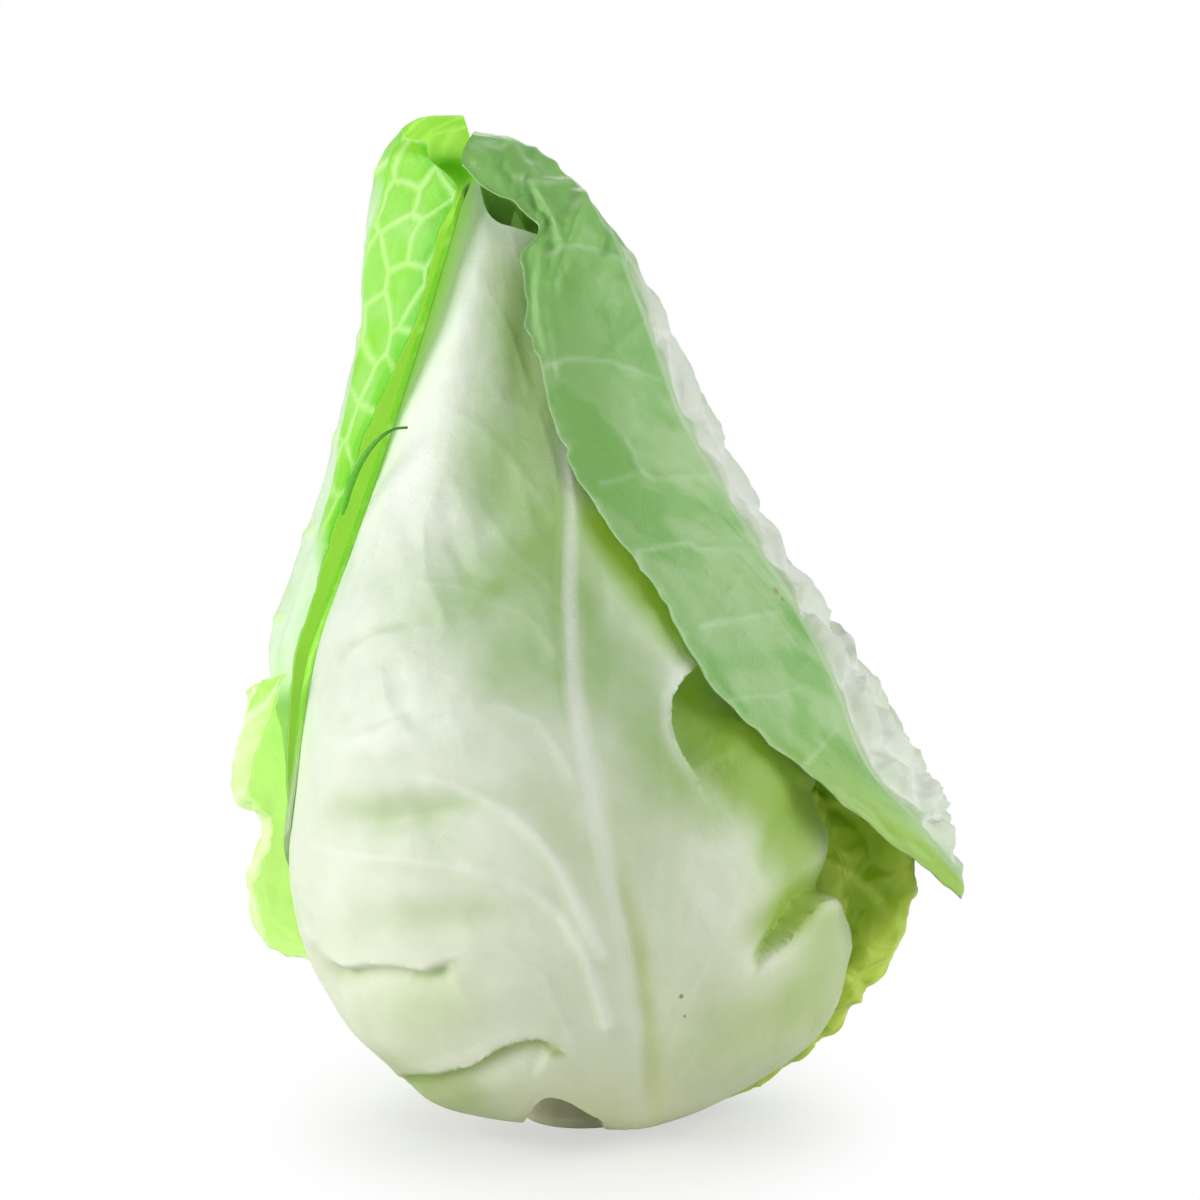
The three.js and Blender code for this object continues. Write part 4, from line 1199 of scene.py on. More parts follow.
def cape_sheet(look):
    """The cape over the top and the right. It is smooth in front of its crease, where flap is 1,
    and blistered behind it; t and row count the net's columns and rows."""
    u, v = (steps_between(*CAPE_GRID[way]) for way in ("across", "up"))
    sheet = Sheet(frayed(net_points(CAPE, CAPE_CREASE, u, v), 14, 1.7))
    t, row = net_places(CAPE, u, v)
    p, q = sheet.measured(u, CAPE_CREASE / t[0, -1])
    x, y = sheet.x, sheet.v
    raised = smooth(row, 4.4, 5.2)
    facing = smooth(-sheet.out[..., 1], -0.1, 0.3) * raised * (1 - smooth(t, 3, 3.6))
    flap = (1 - smooth(t, 1.96, 2.04)) * raised
    behind = smooth(t, 2, 2.1)
    hood = smooth(row, 12, 13.4)
    far = smooth(t, 3, 3.8)

    # Veins, creases and crumples
    height, white = drawn(CAPE_VEINS, x, y, flap)
    folds = 0
    for line, wide, high in CAPE_FOLDS:
        off, place = beside(line, x, y)
        folds = folds + high * bell(off / wide) * span(place, (0, 0.15), (0.85, 1))
    folds = folds * facing
    crumple = 1.4 * (0.5 - np.abs(noise(x / 7, y / 10, 1, 2))) * hood * facing
    rib_p = p - p[:, -1:] * 0.55
    rib = midrib(rib_p, q, 3.2, 0.8, 200) * (1 - smooth(q, 160, 210))
    side = feathered(rib_p, q, 24, 0.8, 60) * behind

    # Blisters between the lines of a net, highest just behind the crease
    wp, wq = wandering(p, q, 2.5, 12)
    edge = cells(wp, wq, 14)
    fine = cells(wp + 40, wq, 5)
    net = bell(edge / lerp(0.9, 1.5, far))
    near = bell((t - 2.6) / 0.9) * behind * smooth(row, 4.6, 5.6) * (1 - hood)
    puffed = near * (1 - 0.6 * smooth(row, 8, 11))
    blister = smooth(edge, 0, 5.4) + 0.2 * smooth(fine, 0, 2.2)
    wrinkle = noise(p / 1.5 + q / 5, q / 9, 0) * bell((t - 1.85) / 0.3) * bell((row - 9.3) / 1.3)
    margin = (1 - smooth(t, 0, 0.12)) * smooth(row, 4.6, 5.6)
    lift = (
        (height + 0.1 * smooth(edge, 0, 5) * flap) * look.vein_relief
        + folds
        + crumple
        + 0.3 * wrinkle
        + (0.35 + 2.6 * puffed) * blister * behind * (1 - 0.6 * hood) * look.net_relief
        + 0.5 * side * look.vein_relief
        + 1.2 * rib * behind
        + 0.8 * noise(p / 18, q / 24, 2, 2) * (1 - 0.4 * flap)
        + margin * (0.35 * noise(q / 2.4, p / 9, 1, 2) + 0.2)
        + 0.12 * noise(p / 4 + q / 12, q / 6, 1, 2) * flap
    )
    sheet.raise_by(lift * smooth(q[-1:] - q, 0, 12) * smooth(q, 6, 30))
    sheet.rim = rim_of(p, q)

    mottle = smooth(noise(p / 9 + q / 30, q / 11, 0, 3), -0.25, 0.55)
    tip = bell((row - 5) / 1.6) * bell((t - 1) / 1.2)
    low_flap = flap * smooth(100 - y, 0, 40)
    top = smooth(row, 11, 13)
    # Painted light and shade: the flap in front of the crease is painted greener and its low part
    # deep green as painted shade, the band just behind the crease is painted white where the right
    # light falls, and the flap's tip gets a painted glow
    sheet.paint(
        vein=strongest(
            0.45 * white,
            0.1 * bell(fine / 0.5) * flap,
            lerp(0.9, 0.4, far) * net * behind * lerp(1, 0.5, hood),
            0.5 * side,
            (0.76 + 0.22 * bell(edge / 1.3)) * near,
            0.75 * rib * behind,
            0.4 * bell((t - 2) / 0.06) * smooth(row, 5, 7),
            0.4 * margin * bell(t / 0.05),
        ),
        green=(
            lerp(0.3 - 0.18 * near + 0.25 * mottle * far, 0.5 + 0.5 * mottle, flap)
            + 0.4 * hood * (1 - 0.5 * mottle)
            + 0.15 * smooth(t, 3.4, 5) * behind
            - 0.4 * tip
            + (0.16 * bell((t - 0.5) / 0.9) + 0.2 * smooth(y, 140, 180)) * flap
        ),
        deep=0.95 * low_flap * smooth(t, 2.1, 0.9) + 0.15 * tip * flap,
        warm=bell(q / 24),
        glow=0.14 * tip * flap,
        fuzz=near * smooth(row, 6, 8),
        thin=lerp(0.24, 0.12, flap),
    )
    # The inside of the hood is painted deep green as painted shade, with a painted glow over it
    sheet.inside = {
        "vein": 0.4 * sheet.fields["vein"],
        "green": sheet.fields["green"] + smooth(row, 10, 13),
        "deep": top,
        "glow": top,
    }
    return sheet


def left_sheet(look):
    """The left leaf. Its margin is folded forward in a bright netted strip, painted lime as light
    coming through it; t and row count the net's columns and rows, t from the free margin."""
    u, v = (steps_between(*LEFT_GRID[way]) for way in ("across", "up"))
    rows = turned(LEFT)
    last = len(rows[0]) - 1
    points = net_points(rows, last - LEFT_CREASE, u, v)
    points = frayed(points[:, ::-1], 12, 1.2)[:, ::-1]
    points = frayed(points[::-1].transpose(1, 0, 2), 10, 1.4).transpose(1, 0, 2)[::-1]
    sheet = Sheet(points)
    p, q = sheet.measured(u, (last - LEFT_CREASE) / last)
    t, row = net_places(rows, u, v)
    t = last - t
    strip = (1 - smooth(t, 0.94, 1.04)) * smooth(sheet.v + 6 * (1 - t), 128, 142)
    behind = smooth(t, 1.02, 1.3)
    wp, wq = wandering(p, q, 1.8, 9)
    edge = cells(wp * 1.15 + 4, wq * 0.95, 9.4, 0.85)
    fine = cells(wp + 30, wq, 3.6)
    net = bell(edge / 1.2)
    rib_p = p + 0.5 * np.abs(p[:, :1])
    rib = midrib(rib_p, q, 3, 0.8, 200) * (1 - smooth(q, 150, 205)) * behind
    side = feathered(rib_p, q, 24, 0.8, 50) * behind
    margin = (1 - smooth(t, 0, 0.3)) * smooth(row, 6, 8)
    lift = (
        (0.35 * net * strip + 0.5 * side * behind) * look.vein_relief
        + smooth(edge, 0, 3.4) * lerp(0.12 + 0.3 * smooth(t, 2, 3), 0.3, strip) * look.net_relief
        + 1.1 * rib
        + 0.6 * noise(p / 18, q / 24, 2, 2) * smooth(t, 1.6, 2.6)
        + margin * (0.5 * noise(q / 4, p / 7, 1, 2) + 0.2)
    )
    sheet.raise_by(lift * smooth(q[-1:] - q, 0, 10) * smooth(q, 6, 30))
    sheet.rim = rim_of(p, q)

    mottle = smooth(noise(p / 6, q / 8, 0, 3), -0.3, 0.6)
    top = smooth(row, 12.2, 13.6) * (1 - smooth(t, 2, 3))
    bright = smooth(sheet.v, 104, 119)
    hollow_shade = blots(LEFT_HOLLOW_SHADE, sheet.x, sheet.v)
    # Painted light and shade: the strip is painted lime, as light coming through it, with a faint
    # painted glow, and deep green along its free margin as painted shade
    sheet.paint(
        vein=strongest(
            0.6 * net * strip,
            lerp(0.1, 0.5, smooth(t, 2, 3)) * net * behind,
            0.08 * bell(fine / 0.4),
            0.8 * side,
            rib,
        ),
        green=0.85 * strip + 0.25 * mottle + 0.75 * top + 0.2 * smooth(t, 2, 4),
        deep=strip
        * (0.9 * bell(t / 0.22) + 0.5 * (1 - smooth(row, 6.5, 9)) * smooth(0.8 - t, 0, 0.4)),
        warm=bell(q / 24),
        glow=0.06 * strip,
        thin=lerp(lerp(0.04, 0.3, smooth(t, 2, 3.5)), 0.12, strip),
    )
    # Its inside is painted with a glow that stands in for light coming through, stronger above the
    # low band, with painted shade in the dark hollows and along the margin
    sheet.inside = {
        "vein": strongest(
            0.6 * net * smooth(row, 11, 12) * (1 - hollow_shade), 0.3 * sheet.fields["vein"]
        ),
        "green": (0.5 + 0.4 * mottle) * bright,
        "deep": hollow_shade + (0.25 * (1 - top) + 0.5 * (1 - smooth(sheet.rim, 0.5, 3))) * bright,
        "glow": lerp(0.75, 0.95, bright) - hollow_shade,
        "thin": np.full(t.shape, 0.5),
    }
    return sheet


def cup_sheet(look, rows, counts, mesh, frill, pleats, glow, deep):
    """A low frilled leaf, from the settings that CUPS describes."""
    u, v = (np.linspace(0, 1, count + 1) for count in counts)
    sheet = Sheet(net_points(rows, None, u, v))
    p, q = sheet.measured(u, 0.5)
    wp, wq = wandering(p, q, 1.6, 8)
    edge = cells(wp, wq, mesh)
    fine = cells(wp + 30, wq, mesh * 0.36)
    rib = midrib(p, q, 2.6, 0.8, 100)
    side = feathered(p, q, 19, 0.9, 34)
    sheet.rim = rim_of(p, q)
    ruffle = bell(sheet.rim / 6) * smooth(q, 40, 60)
    fold = np.sin(p / 2.9 + 2.2 * noise(p / 16, q / 22, 2, 2) + q / 30)
    lift = (
        (0.6 * side + 0.35 * bell(edge / 0.6)) * look.vein_relief
        + 1.1 * smooth(edge, 0, mesh * 0.4) * smooth(q, 24, 44) * look.net_relief
        + 0.9 * rib * (1 - smooth(q, 60, 100))
        + frill * ruffle * noise(p / 5 + q / 6, q / 5 - p / 9, 1, 2)
        + pleats * fold * smooth(q, 34, 60)
    )
    sheet.raise_by(lift * smooth(q, 8, 30))
    mottle = smooth(noise(p / 6, q / 7, 0, 3), -0.3, 0.6)
    # deep darkens the whole cup and the valleys of its pleats as painted shade, and glow is a painted
    # glow
    shining = glow * smooth(q, 30, 50)
    sheet.paint(
        vein=strongest(rib, 0.6 * side, 0.3 * bell(edge / 0.7), 0.08 * bell(fine / 0.4)),
        green=0.05 + 0.4 * mottle + 0.5 * smooth(sheet.v, 80, 98),
        deep=deep * (0.55 + 0.2 * mottle - 0.3 * fold * pleats),
        warm=bell(q / 22),
        glow=0.3 * shining,
        thin=0.56 - 0.6 * glow,
    )
    sheet.inside = {"glow": shining}
    return sheet


# The low leaves: net, points across and up, size of the meshes between their fine veins, height of
# the frill and of the pleats, and how strongly they get a painted glow and painted shade
CUPS = {
    "right_cup_leaf": {
        "rows": RIGHT_CUP, "counts": (170, 180), "mesh": 9, "frill": 2.2, "pleats": 1.7,
        "glow": 0.4, "deep": 0.8,
    },
    "left_cup_leaf": {
        "rows": turned(LEFT_CUP), "counts": (130, 190), "mesh": 11, "frill": 1.0, "pleats": 0.35,
        "glow": 0.8, "deep": 0,
    },
}


def heart_mesh(name):
    """The tight heart: a cone of folded leaves, each margin standing a little over the next."""
    rows, around = np.arange(HEART_RINGS + 1), np.arange(HEART_SIDES)
    j, i = np.meshgrid(rows, around, indexing="ij")
    s = lerp(*HEART_REACH, j / HEART_RINGS)
    a = i * 360 / HEART_SIDES
    turn = (a + s * 0.9 + 2 * noise(s / 30, a / 40, 1)) % 120
    ends = span(j, (0, HEART_RINGS * 0.14), (HEART_RINGS * 0.73, HEART_RINGS))
    margin = 1.4 * (turn / 120) * smooth(120 - turn, 0, 3) * ends
    p, q = (turn - 60) * 0.9, s
    side = feathered(p, q, 24, 0.8, 50)
    rib = midrib(p, q, 3, 0.9, 230)
    d = -HEART_INSET - 1.4 + margin + (0.4 * side + 0.5 * rib) * ends
    points = head(a, s, d)
    crown = head(0, HEART_REACH[1], -HEART_INSET)[2] + 2
    poles = [[0, 0, STALK_HEIGHT + 0.4], [float(lean(crown)), 0, crown]]
    points = np.concatenate([points.reshape(-1, 3), poles])
    foot, tip = len(points) - 2, len(points) - 1
    last = HEART_RINGS * HEART_SIDES
    faces = tube(HEART_RINGS + 1, HEART_SIDES)
    for k in range(HEART_SIDES):
        following = (k + 1) % HEART_SIDES
        faces.append([foot, following, k])
        faces.append([last + k, last + following, tip])
    fields = {
        "vein": strongest(rib, 0.8 * side),
        "green": 0.2 + 0.2 * smooth(noise(p / 9, q / 12, 0, 2), 0, 0.7),
        "warm": bell((s - HEART_REACH[0]) / 30),
    }
    fields = {key: fields.get(key, 0 * s) for key in FIELDS}
    fields = {
        key: np.concatenate([value.ravel(), [value[0, 0], value[-1, 0]]])
        for key, value in fields.items()
    }
    return mesh_piece(name, points * MM, faces, fields)


def stalk_mesh(name):
    """The cut stalk, a little waisted above its flat cut face."""
    outline = np.array([
        [STALK_EDGE, 0], [4, 0], [8, 0], [10.6, 0], [STALK_RADIUS - 0.8, 0],
        [STALK_RADIUS - 0.2, 0.3], [STALK_RADIUS, 0.9], [STALK_RADIUS, 2.4],
        [STALK_RADIUS - 2.2, 5.6], [STALK_RADIUS - 2.7, 9], [STALK_RADIUS - 2.9, 12.4],
        [STALK_RADIUS - 3.6, STALK_HEIGHT], [4, STALK_HEIGHT], [STALK_EDGE, STALK_HEIGHT],
    ])
    line = through(outline, np.linspace(0, len(outline) - 1, STALK_RINGS))
    line[:, 1] = np.clip(line[:, 1], 0, STALK_HEIGHT)
    turn = np.radians(np.arange(STALK_SIDES) * 360 / STALK_SIDES)[None, :]
    r, z = line[:, :1], line[:, 1:]
    ridges = 0.22 * noise(turn * 5.1, z / 7 + 0 * turn, 1, 2) * smooth(z, 0.2, 1.5)
    r = r + (ridges - 0.22) * smooth(r, 6, 12)
    points = np.stack([r * np.sin(turn), -r * np.cos(turn), z + 0 * turn], -1).reshape(-1, 3)
    across = np.hypot(points[:, 0], points[:, 1]) / STALK_RADIUS
    fields = {"ring": across, "cut": 1 - smooth(points[:, 2], 0.1, 0.8)}
    return mesh_piece(name, points * MM, capped_tube(STALK_RINGS, STALK_SIDES), fields)


def curl_mesh(name):
    """The thin torn curl at the margin of the left leaf."""
    places = np.linspace(0, len(LEFT_CURL) - 1, CURL_RINGS)
    points = through([read(*place) for place in LEFT_CURL], places)
    onward = np.gradient(points, axis=0)
    onward /= np.linalg.norm(onward, axis=1, keepdims=True)
    side = np.cross(onward, [-0.2, -0.95, 0.2])
    side /= np.linalg.norm(side, axis=1, keepdims=True)
    up = np.cross(side, onward)
    turn = np.arange(CURL_SIDES)[:, None] * 2 * math.pi / CURL_SIDES
    place = np.linspace(0, 1, CURL_RINGS)
    wide = lerp(CURL_WIDE, CURL_FINE, smooth(place, 0.15, 0.9)) * smooth(place, -0.1, 0.1)
    wide = wide[:, None, None]
    ring = side[:, None] * np.cos(turn) * wide + up[:, None] * np.sin(turn) * (
        CURL_FLATNESS * wide
    )
    flat = (points[:, None] + ring).reshape(-1, 3)
    fields = {"tip": np.repeat(place, CURL_SIDES)}
    return mesh_piece(name, flat * MM, capped_tube(CURL_RINGS, CURL_SIDES), fields)


def tone(red, green, blue):
    """A colour given in the 0 to 255 of a picture, as the shader's linear numbers."""
    shares = [c / 255 for c in (red, green, blue)]
    linear = [c / 12.92 if c < 0.04045 else ((c + 0.055) / 1.055) ** 2.4 for c in shares]
    return (*linear, 1.0)


class Value:
    """A number in a shader graph that takes part in sums."""

    def __init__(self, graph, socket):
        self.graph = graph
        self.socket = socket

    def reckoned(self, operation, *others):
        sockets = dict(enumerate((self, *others)))
        node = self.graph.node("ShaderNodeMath", {"operation": operation}, sockets)
        return Value(self.graph, node.outputs[0])

    def __add__(self, other):
        return self.reckoned("ADD", other)

    __radd__ = __add__

    def __mul__(self, other):
        return self.reckoned("MULTIPLY", other)

    __rmul__ = __mul__

    def __sub__(self, other):
        return self.reckoned("SUBTRACT", other)

    def __rsub__(self, other):
        return (self * -1) + other

    def between(self, low, high, start=0.0, end=1.0):
        """This number's climb from low to high, as one from start to end."""
        settings = {"interpolation_type": "SMOOTHSTEP", "clamp": True}
        sockets = {0: self, 1: low, 2: high, 3: start, 4: end}
        node = self.graph.node("ShaderNodeMapRange", settings, sockets)
        return Value(self.graph, node.outputs[0])


class Graph:
    """The node graph of a material or of the world."""

    def __init__(self, owner):
        self.owner = owner
        owner.use_nodes = True
        self.tree = owner.node_tree
        self.tree.nodes.clear()

    def node(self, kind, settings=None, sockets=None):
        made = self.tree.nodes.new(kind)
        for key, value in (settings or {}).items():
            setattr(made, key, value)
        for key, value in (sockets or {}).items():
            value = value.socket if isinstance(value, Value) else value
            if isinstance(value, bpy.types.NodeSocket):
                self.tree.links.new(value, made.inputs[key])
            else:
                made.inputs[key].default_value = value
        return made

    def field(self, name):
        node = self.node("ShaderNodeAttribute", {"attribute_name": name})
        return Value(self, node.outputs["Fac"])

    def scaled(self, scale):
        """The place on the piece, with each of its numbers scaled."""
        spot = self.node("ShaderNodeTexCoord").outputs["Object"]
        sockets = {0: spot, 1: scale}
        return self.node("ShaderNodeVectorMath", {"operation": "MULTIPLY"}, sockets).outputs[0]

    def place(self, stretch=(1, 1, 1)):
        """Millimetres on the piece, stretched."""
        return self.scaled([k / MM for k in stretch])

    def noise(self, size, detail=2.0, rough=0.5, stretch=(1, 1, 1), twist=0.0):
        """Noise with bumps of a size in millimetres."""
        sockets = {
            "Vector": self.place(stretch), "Scale": 1 / size, "Detail": detail,
            "Roughness": rough, "Distortion": twist,
        }
        return Value(self, self.node("ShaderNodeTexNoise", {}, sockets).outputs[0])

    def spot(self, point, radius):
        """One at a point given in millimetres, and nothing beyond a radius."""
        sockets = {0: self.place(), 1: tuple(point)}
        away = self.node("ShaderNodeVectorMath", {"operation": "DISTANCE"}, sockets)
        return Value(self, away.outputs["Value"]).between(0.5 * radius, radius, 1, 0)

    def blend(self, amount, one, two):
        settings = {"data_type": "RGBA", "clamp_factor": True}
        return self.node("ShaderNodeMix", settings, {0: amount, 6: one, 7: two}).outputs[2]

    def bump(self, strength, distance, height):
        """A normal from a height, with a distance in millimetres."""
        sockets = {"Strength": strength, "Distance": distance * MM, "Height": height}
        return self.node("ShaderNodeBump", {}, sockets).outputs[0]

    def skin(self, colour, rough, **more):
        """The usual surface, with the sockets that it needs beside colour and roughness."""
        sockets = {"Base Color": colour, "Roughness": rough, **more}
        return self.node("ShaderNodeBsdfPrincipled", {}, sockets)

    def mixed(self, amount, one, two):
        sockets = {0: amount, 1: one.outputs[0], 2: two.outputs[0]}
        return self.node("ShaderNodeMixShader", {}, sockets)

    def surface(self, shader, kind="ShaderNodeOutputMaterial"):
        self.node(kind, {}, {"Surface": shader.outputs[0]})
        return self.owner


def leaf_material(look, leaf):
    """Plant tissue: pale to green, whiter along its veins, and lit through where it is thin. Its
    fields also bring painted shade and painted light into the colour, and a painted glow through
    emission.
    """
    skin = SKINS[leaf]
    pale, green, deep, vein, warm, lit = (
        tuple(getattr(look, f"{leaf}_{tissue}")) for tissue in TISSUES
    )
    g = Graph(bpy.data.materials.new(skin["material"]))
    veins, greens_and_shade, deep_shade_and_light, warms, glow, fuzz, thin = (g.field(key) for key in FIELDS)
    grain, cloud = g.noise(0.9, 4.0, 0.6), g.noise(13, 3.0, 0.55, twist=0.6)
    hair = g.noise(0.35, 2.0, 0.6, (0.35, 1, 3.2))
    strands = (fuzz * (hair - 0.42) * 2.4).between(0, 1)
    base = g.blend(greens_and_shade + (cloud - 0.5) * 0.26 + (grain - 0.5) * 0.1, pale, green)
    base = g.blend(deep_shade_and_light, base, deep)
    base = g.blend(warms * 0.6, base, warm)
    # vein whiteness also carries painted light from the leaves' fields
    lines = (veins * (grain * 0.4 + 0.78)).between(0.04, 0.98, 0, 0.85)
    base = g.blend(lines + strands * 0.4, base, vein)
    for point, radius in skin.get("specks", ()):
        amount = g.spot(read(*point), radius) * SPECK_STRENGTH
        base = g.blend(amount, base, tone(*skin["speck"]))
    pore = g.node(
        "ShaderNodeTexVoronoi", {"feature": "DISTANCE_TO_EDGE"}, {"Vector": g.place(), "Scale": 1.4}
    )
    relief = grain * 0.4 + g.noise(3.2, 3.0) * 0.8 + g.noise(8, 2.0) * 1.6
    relief = relief + Value(g, pore.outputs[0]) * 0.3 + strands * 1.2
    normal = g.bump(0.3, 0.6, relief)
    rough = (cloud - 0.5) * 0.16 + (grain - 0.5) * 0.12 + skin["rough"] - veins * 0.04
    # The glow field is a painted glow: emission in the colour of light coming through
    outside = g.skin(base, rough, **{
        "Normal": normal,
        "Specular IOR Level": 0.35,
        "Sheen Weight": 0.06,
        "Sheen Roughness": 0.5,
        "Emission Color": g.blend(glow, BLACK, lit),
        "Emission Strength": skin["shine"],
    })
    behind = g.node("ShaderNodeBsdfTranslucent", {}, {"Color": lit, "Normal": normal})
    return g.surface(g.mixed(thin * (veins * -0.5 + 1), outside, behind))


def stalk_material():
    """Cut stalk: pale flesh, a ring of wood, and dry brown patches on the cut face."""
    g = Graph(bpy.data.materials.new("stalk_flesh"))
    ring, cut = g.field("ring"), g.field("cut")
    grain, cloud = g.noise(0.6, 4.0, 0.6), g.noise(5, 3.0)
    rind = ring.between(0.3, 0.75) + (grain - 0.5) * 0.4
    base = g.blend(rind, tone(242, 240, 226), tone(222, 222, 190))
    wood = ring.between(0.6, 0.7) * (1 - ring.between(0.74, 0.84))
    base = g.blend(wood, base, tone(236, 232, 204))
    base = g.blend(cut * cloud.between(0.35, 0.75) * 0.75, base, tone(186, 160, 112))
    specks = cut * g.noise(1.1, 1.0).between(0.66, 0.76)
    base = g.blend(specks * 0.5, base, tone(140, 112, 72))
    normal = g.bump(0.5, 0.5, grain * 0.6 + cloud * 0.8)
    rough = 0.62 + (grain - 0.5) * 0.2
    return g.surface(g.skin(base, rough, Normal=normal))


def curl_material():
    """Bright green that dries dark towards the tip."""
    g = Graph(bpy.data.materials.new("curl_green"))
    grain = g.noise(0.8, 3.0)
    base = g.blend(g.field("tip") + (grain - 0.5) * 0.5, tone(96, 196, 16), tone(52, 112, 24))
    rough = 0.45 + (grain - 0.5) * 0.2
    return g.surface(g.skin(base, rough, Normal=g.bump(0.4, 0.2, grain)))


def floor_material():
    """A pale floor that goes over into plain white away from the head."""
    g = Graph(bpy.data.materials.new("pale_floor"))
    base = g.blend(g.noise(40, 3.0), (0.84, 0.835, 0.815, 1.0), (0.86, 0.855, 0.84, 1.0))
    pale = g.skin(base, 0.9, **{"Specular IOR Level": 0.1})
    white = g.node("ShaderNodeEmission", {}, {"Color": WHITE, "Strength": 1.0})
    spread = g.scaled((1.0, 0.75, 0.0))
    far = g.node("ShaderNodeVectorMath", {"operation": "LENGTH"}, {0: spread})
    reach = Value(g, far.outputs["Value"]).between(0.03, 0.08, 0.55, 1)
    seen_by_camera = Value(g, g.node("ShaderNodeLightPath").outputs["Is Camera Ray"])
    return g.surface(g.mixed(seen_by_camera * reach, pale, white))


def white_room(light):
    """Plain white behind the head, and soft light from all round it."""
    g = Graph(bpy.data.worlds.new("white_room"))
    seen_by_camera = g.node("ShaderNodeLightPath").outputs["Is Camera Ray"]
    sockets = {"Value": seen_by_camera, "To Min": light, "To Max": 1.0}
    strength = g.node("ShaderNodeMapRange", {}, sockets).outputs[0]
    room = g.node("ShaderNodeBackground", {}, {"Color": WHITE, "Strength": strength})
    return g.surface(room, "ShaderNodeOutputWorld")


def settle(piece, node, material):
    """Gives a piece its material and its place in the model, once it is known to be closed."""
    edges = np.zeros(len(piece.data.loops), np.int32)
    piece.data.loops.foreach_get("edge_index", edges)
    if (np.bincount(edges, minlength=len(piece.data.edges)) != 2).any():
        raise RuntimeError(f"{piece.name} isn't closed")
    piece.data.materials.append(material)
    if node:
        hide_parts(node)
    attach(piece, "root")


def settle_leaf(look, node, sheet):
    """Puts a leaf's finished mesh in place of its node."""
    piece = leaf_solid(f"{node}_veined", sheet)
    settle(piece, node, leaf_material(look, node))


class CabbageLook(bpy.types.PropertyGroup):
    """How strongly the leaves are marked and coloured, and how the stage is lit."""

    vein_relief: bpy.props.FloatProperty(
        name="Vein relief", default=1.0, min=0, max=3,
        description="How far the veins stand out, as a share of life",
    )
    net_relief: bpy.props.FloatProperty(
        name="Net relief", default=1.0, min=0, max=3,
        description="How far the leaf swells between its veins, as a share of life",
    )
    key_power: bpy.props.FloatProperty(
        name="Side lights", default=9.4, unit="POWER",
        description="Power of the strongest of the lights beside the head",
    )
    fill_power: bpy.props.FloatProperty(
        name="Front light", default=2.8, unit="POWER",
        description="Power of the light above the camera",
    )
    room_light: bpy.props.FloatProperty(
        name="Room light", default=0.27, min=0,
        description="Strength of the light that comes from all round",
    )
    floor_size: bpy.props.FloatProperty(
        name="Floor", default=12.0, unit="LENGTH", description="Width of the pale floor",
    )


def colour_settings():
    """A colour setting for each tissue of each leaf."""
    return {
        f"{leaf}_{tissue}": bpy.props.FloatVectorProperty(
            name=f"{leaf} {tissue}".replace("_", " ").capitalize(), description=meaning,
            default=tone(*skin[tissue]), size=4, subtype="COLOR", min=0, max=1,
        )
        for leaf, skin in SKINS.items()
        for tissue, meaning in TISSUES.items()
    }


CabbageLook.__annotations__.update(colour_settings())


class CABBAGE_OT_wrapped_leaves(bpy.types.Operator):
    """Build the two leaves that wrap the head, front and back"""

    bl_idname = "cabbage.wrapped_leaves"
    bl_label = "Wrapped leaves"

    def execute(self, context):
        look = context.scene.cabbage_look
        settle_leaf(look, "front_leaf", front_sheet(look))
        settle_leaf(look, "back_leaf", back_sheet(look))
        return {"FINISHED"}


class CABBAGE_OT_outer_leaves(bpy.types.Operator):
    """Build the two folded outer leaves, the cape on the right and the bright one on the left"""

    bl_idname = "cabbage.outer_leaves"
    bl_label = "Outer leaves"

    def execute(self, context):
        look = context.scene.cabbage_look
        settle_leaf(look, "right_leaf", cape_sheet(look))
        settle_leaf(look, "left_leaf", left_sheet(look))
        settle(curl_mesh("left_leaf_curl"), None, curl_material())
        return {"FINISHED"}


class CABBAGE_OT_cup_leaves(bpy.types.Operator):
    """Build the two low frilled leaves"""

    bl_idname = "cabbage.cup_leaves"
    bl_label = "Cup leaves"

    def execute(self, context):
        look = context.scene.cabbage_look
        for node, cup in CUPS.items():
            settle_leaf(look, node, cup_sheet(look, **cup))
        return {"FINISHED"}


class CABBAGE_OT_heart(bpy.types.Operator):
    """Build the tight heart and the cut stalk"""

    bl_idname = "cabbage.heart"
    bl_label = "Heart and stalk"

    def execute(self, context):
        material = leaf_material(context.scene.cabbage_look, "heart")
        settle(heart_mesh("heart_leaves"), "heart", material)
        settle(stalk_mesh("cut_stalk"), "stem", stalk_material())
        return {"FINISHED"}


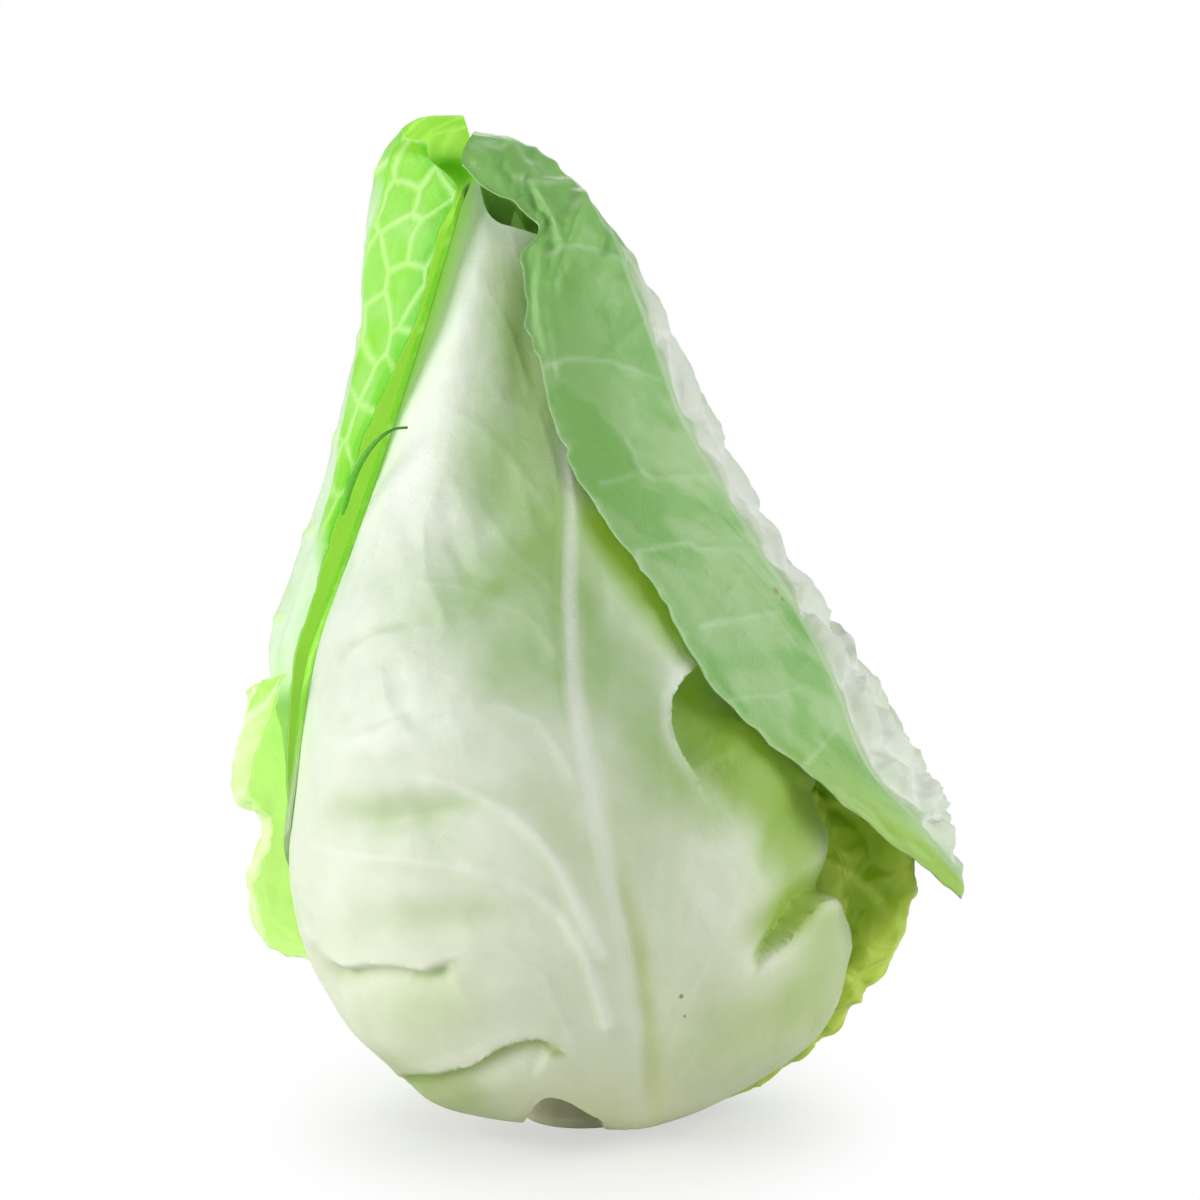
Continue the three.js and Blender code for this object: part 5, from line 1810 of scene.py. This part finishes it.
class CABBAGE_OT_stage(bpy.types.Operator):
    """Set the pale floor, the soft studio light and the camera"""

    bl_idname = "cabbage.stage"
    bl_label = "Stage"

    def execute(self, context):
        scene = context.scene
        look = scene.cabbage_look
        half = look.floor_size / 2
        corners = [(-half, -half, 0), (half, -half, 0), (half, half, 0), (-half, half, 0)]
        mesh = bpy.data.meshes.new("floor")
        mesh.from_pydata(corners, [], [(0, 1, 2, 3)])
        mesh.materials.append(floor_material())
        floor = bpy.data.objects.new("floor", mesh)
        scene.collection.objects.link(floor)

        middle = Vector(EYE_AIM * MM)
        for name, place, size, light, share in LAMPS:
            data = bpy.data.lights.new(name, "AREA")
            data.shape, data.size, data.energy = "SQUARE", size, getattr(look, light) * share
            lamp = bpy.data.objects.new(name, data)
            lamp.location = place
            lamp.rotation_euler = (middle - Vector(place)).to_track_quat("-Z", "Y").to_euler()
            scene.collection.objects.link(lamp)
        scene.world = white_room(look.room_light)
        scene.view_settings.view_transform = "Standard"

        data = bpy.data.cameras.new("eye")
        data.sensor_width = SENSOR
        data.lens = SENSOR * EYE_DISTANCE / EYE_FIELD
        data.clip_start, data.clip_end = CLIP
        eye = bpy.data.objects.new("eye", data)
        away = Vector((0, -math.cos(EYE_TILT), math.sin(EYE_TILT)))
        eye.location = middle + away * (EYE_DISTANCE * MM)
        eye.rotation_euler = (middle - eye.location).to_track_quat("-Z", "Y").to_euler()
        scene.collection.objects.link(eye)
        scene.camera = eye
        return {"FINISHED"}


class CABBAGE_PT_side(bpy.types.Panel):
    """The cabbage's settings and steps"""

    bl_idname = "CABBAGE_PT_side"
    bl_label = "Pointed cabbage"
    bl_space_type = "VIEW_3D"
    bl_region_type = "UI"
    bl_category = "Cabbage"

    def draw(self, context):
        for name in CabbageLook.__annotations__:
            self.layout.prop(context.scene.cabbage_look, name)
        for operator in STEPS:
            self.layout.operator(operator.bl_idname)


STEPS = (
    CABBAGE_OT_wrapped_leaves,
    CABBAGE_OT_outer_leaves,
    CABBAGE_OT_cup_leaves,
    CABBAGE_OT_heart,
    CABBAGE_OT_stage,
)
CLASSES = (CabbageLook, *STEPS, CABBAGE_PT_side)


def register():
    for made in CLASSES:
        bpy.utils.register_class(made)
    bpy.types.Scene.cabbage_look = bpy.props.PointerProperty(type=CabbageLook)


def unregister():
    del bpy.types.Scene.cabbage_look
    for made in reversed(CLASSES):
        bpy.utils.unregister_class(made)


def main():
    register()
    bpy.ops.cabbage.wrapped_leaves()
    bpy.ops.cabbage.outer_leaves()
    bpy.ops.cabbage.cup_leaves()
    bpy.ops.cabbage.heart()
    bpy.ops.cabbage.stage()


if __name__ == "__main__":
    main()
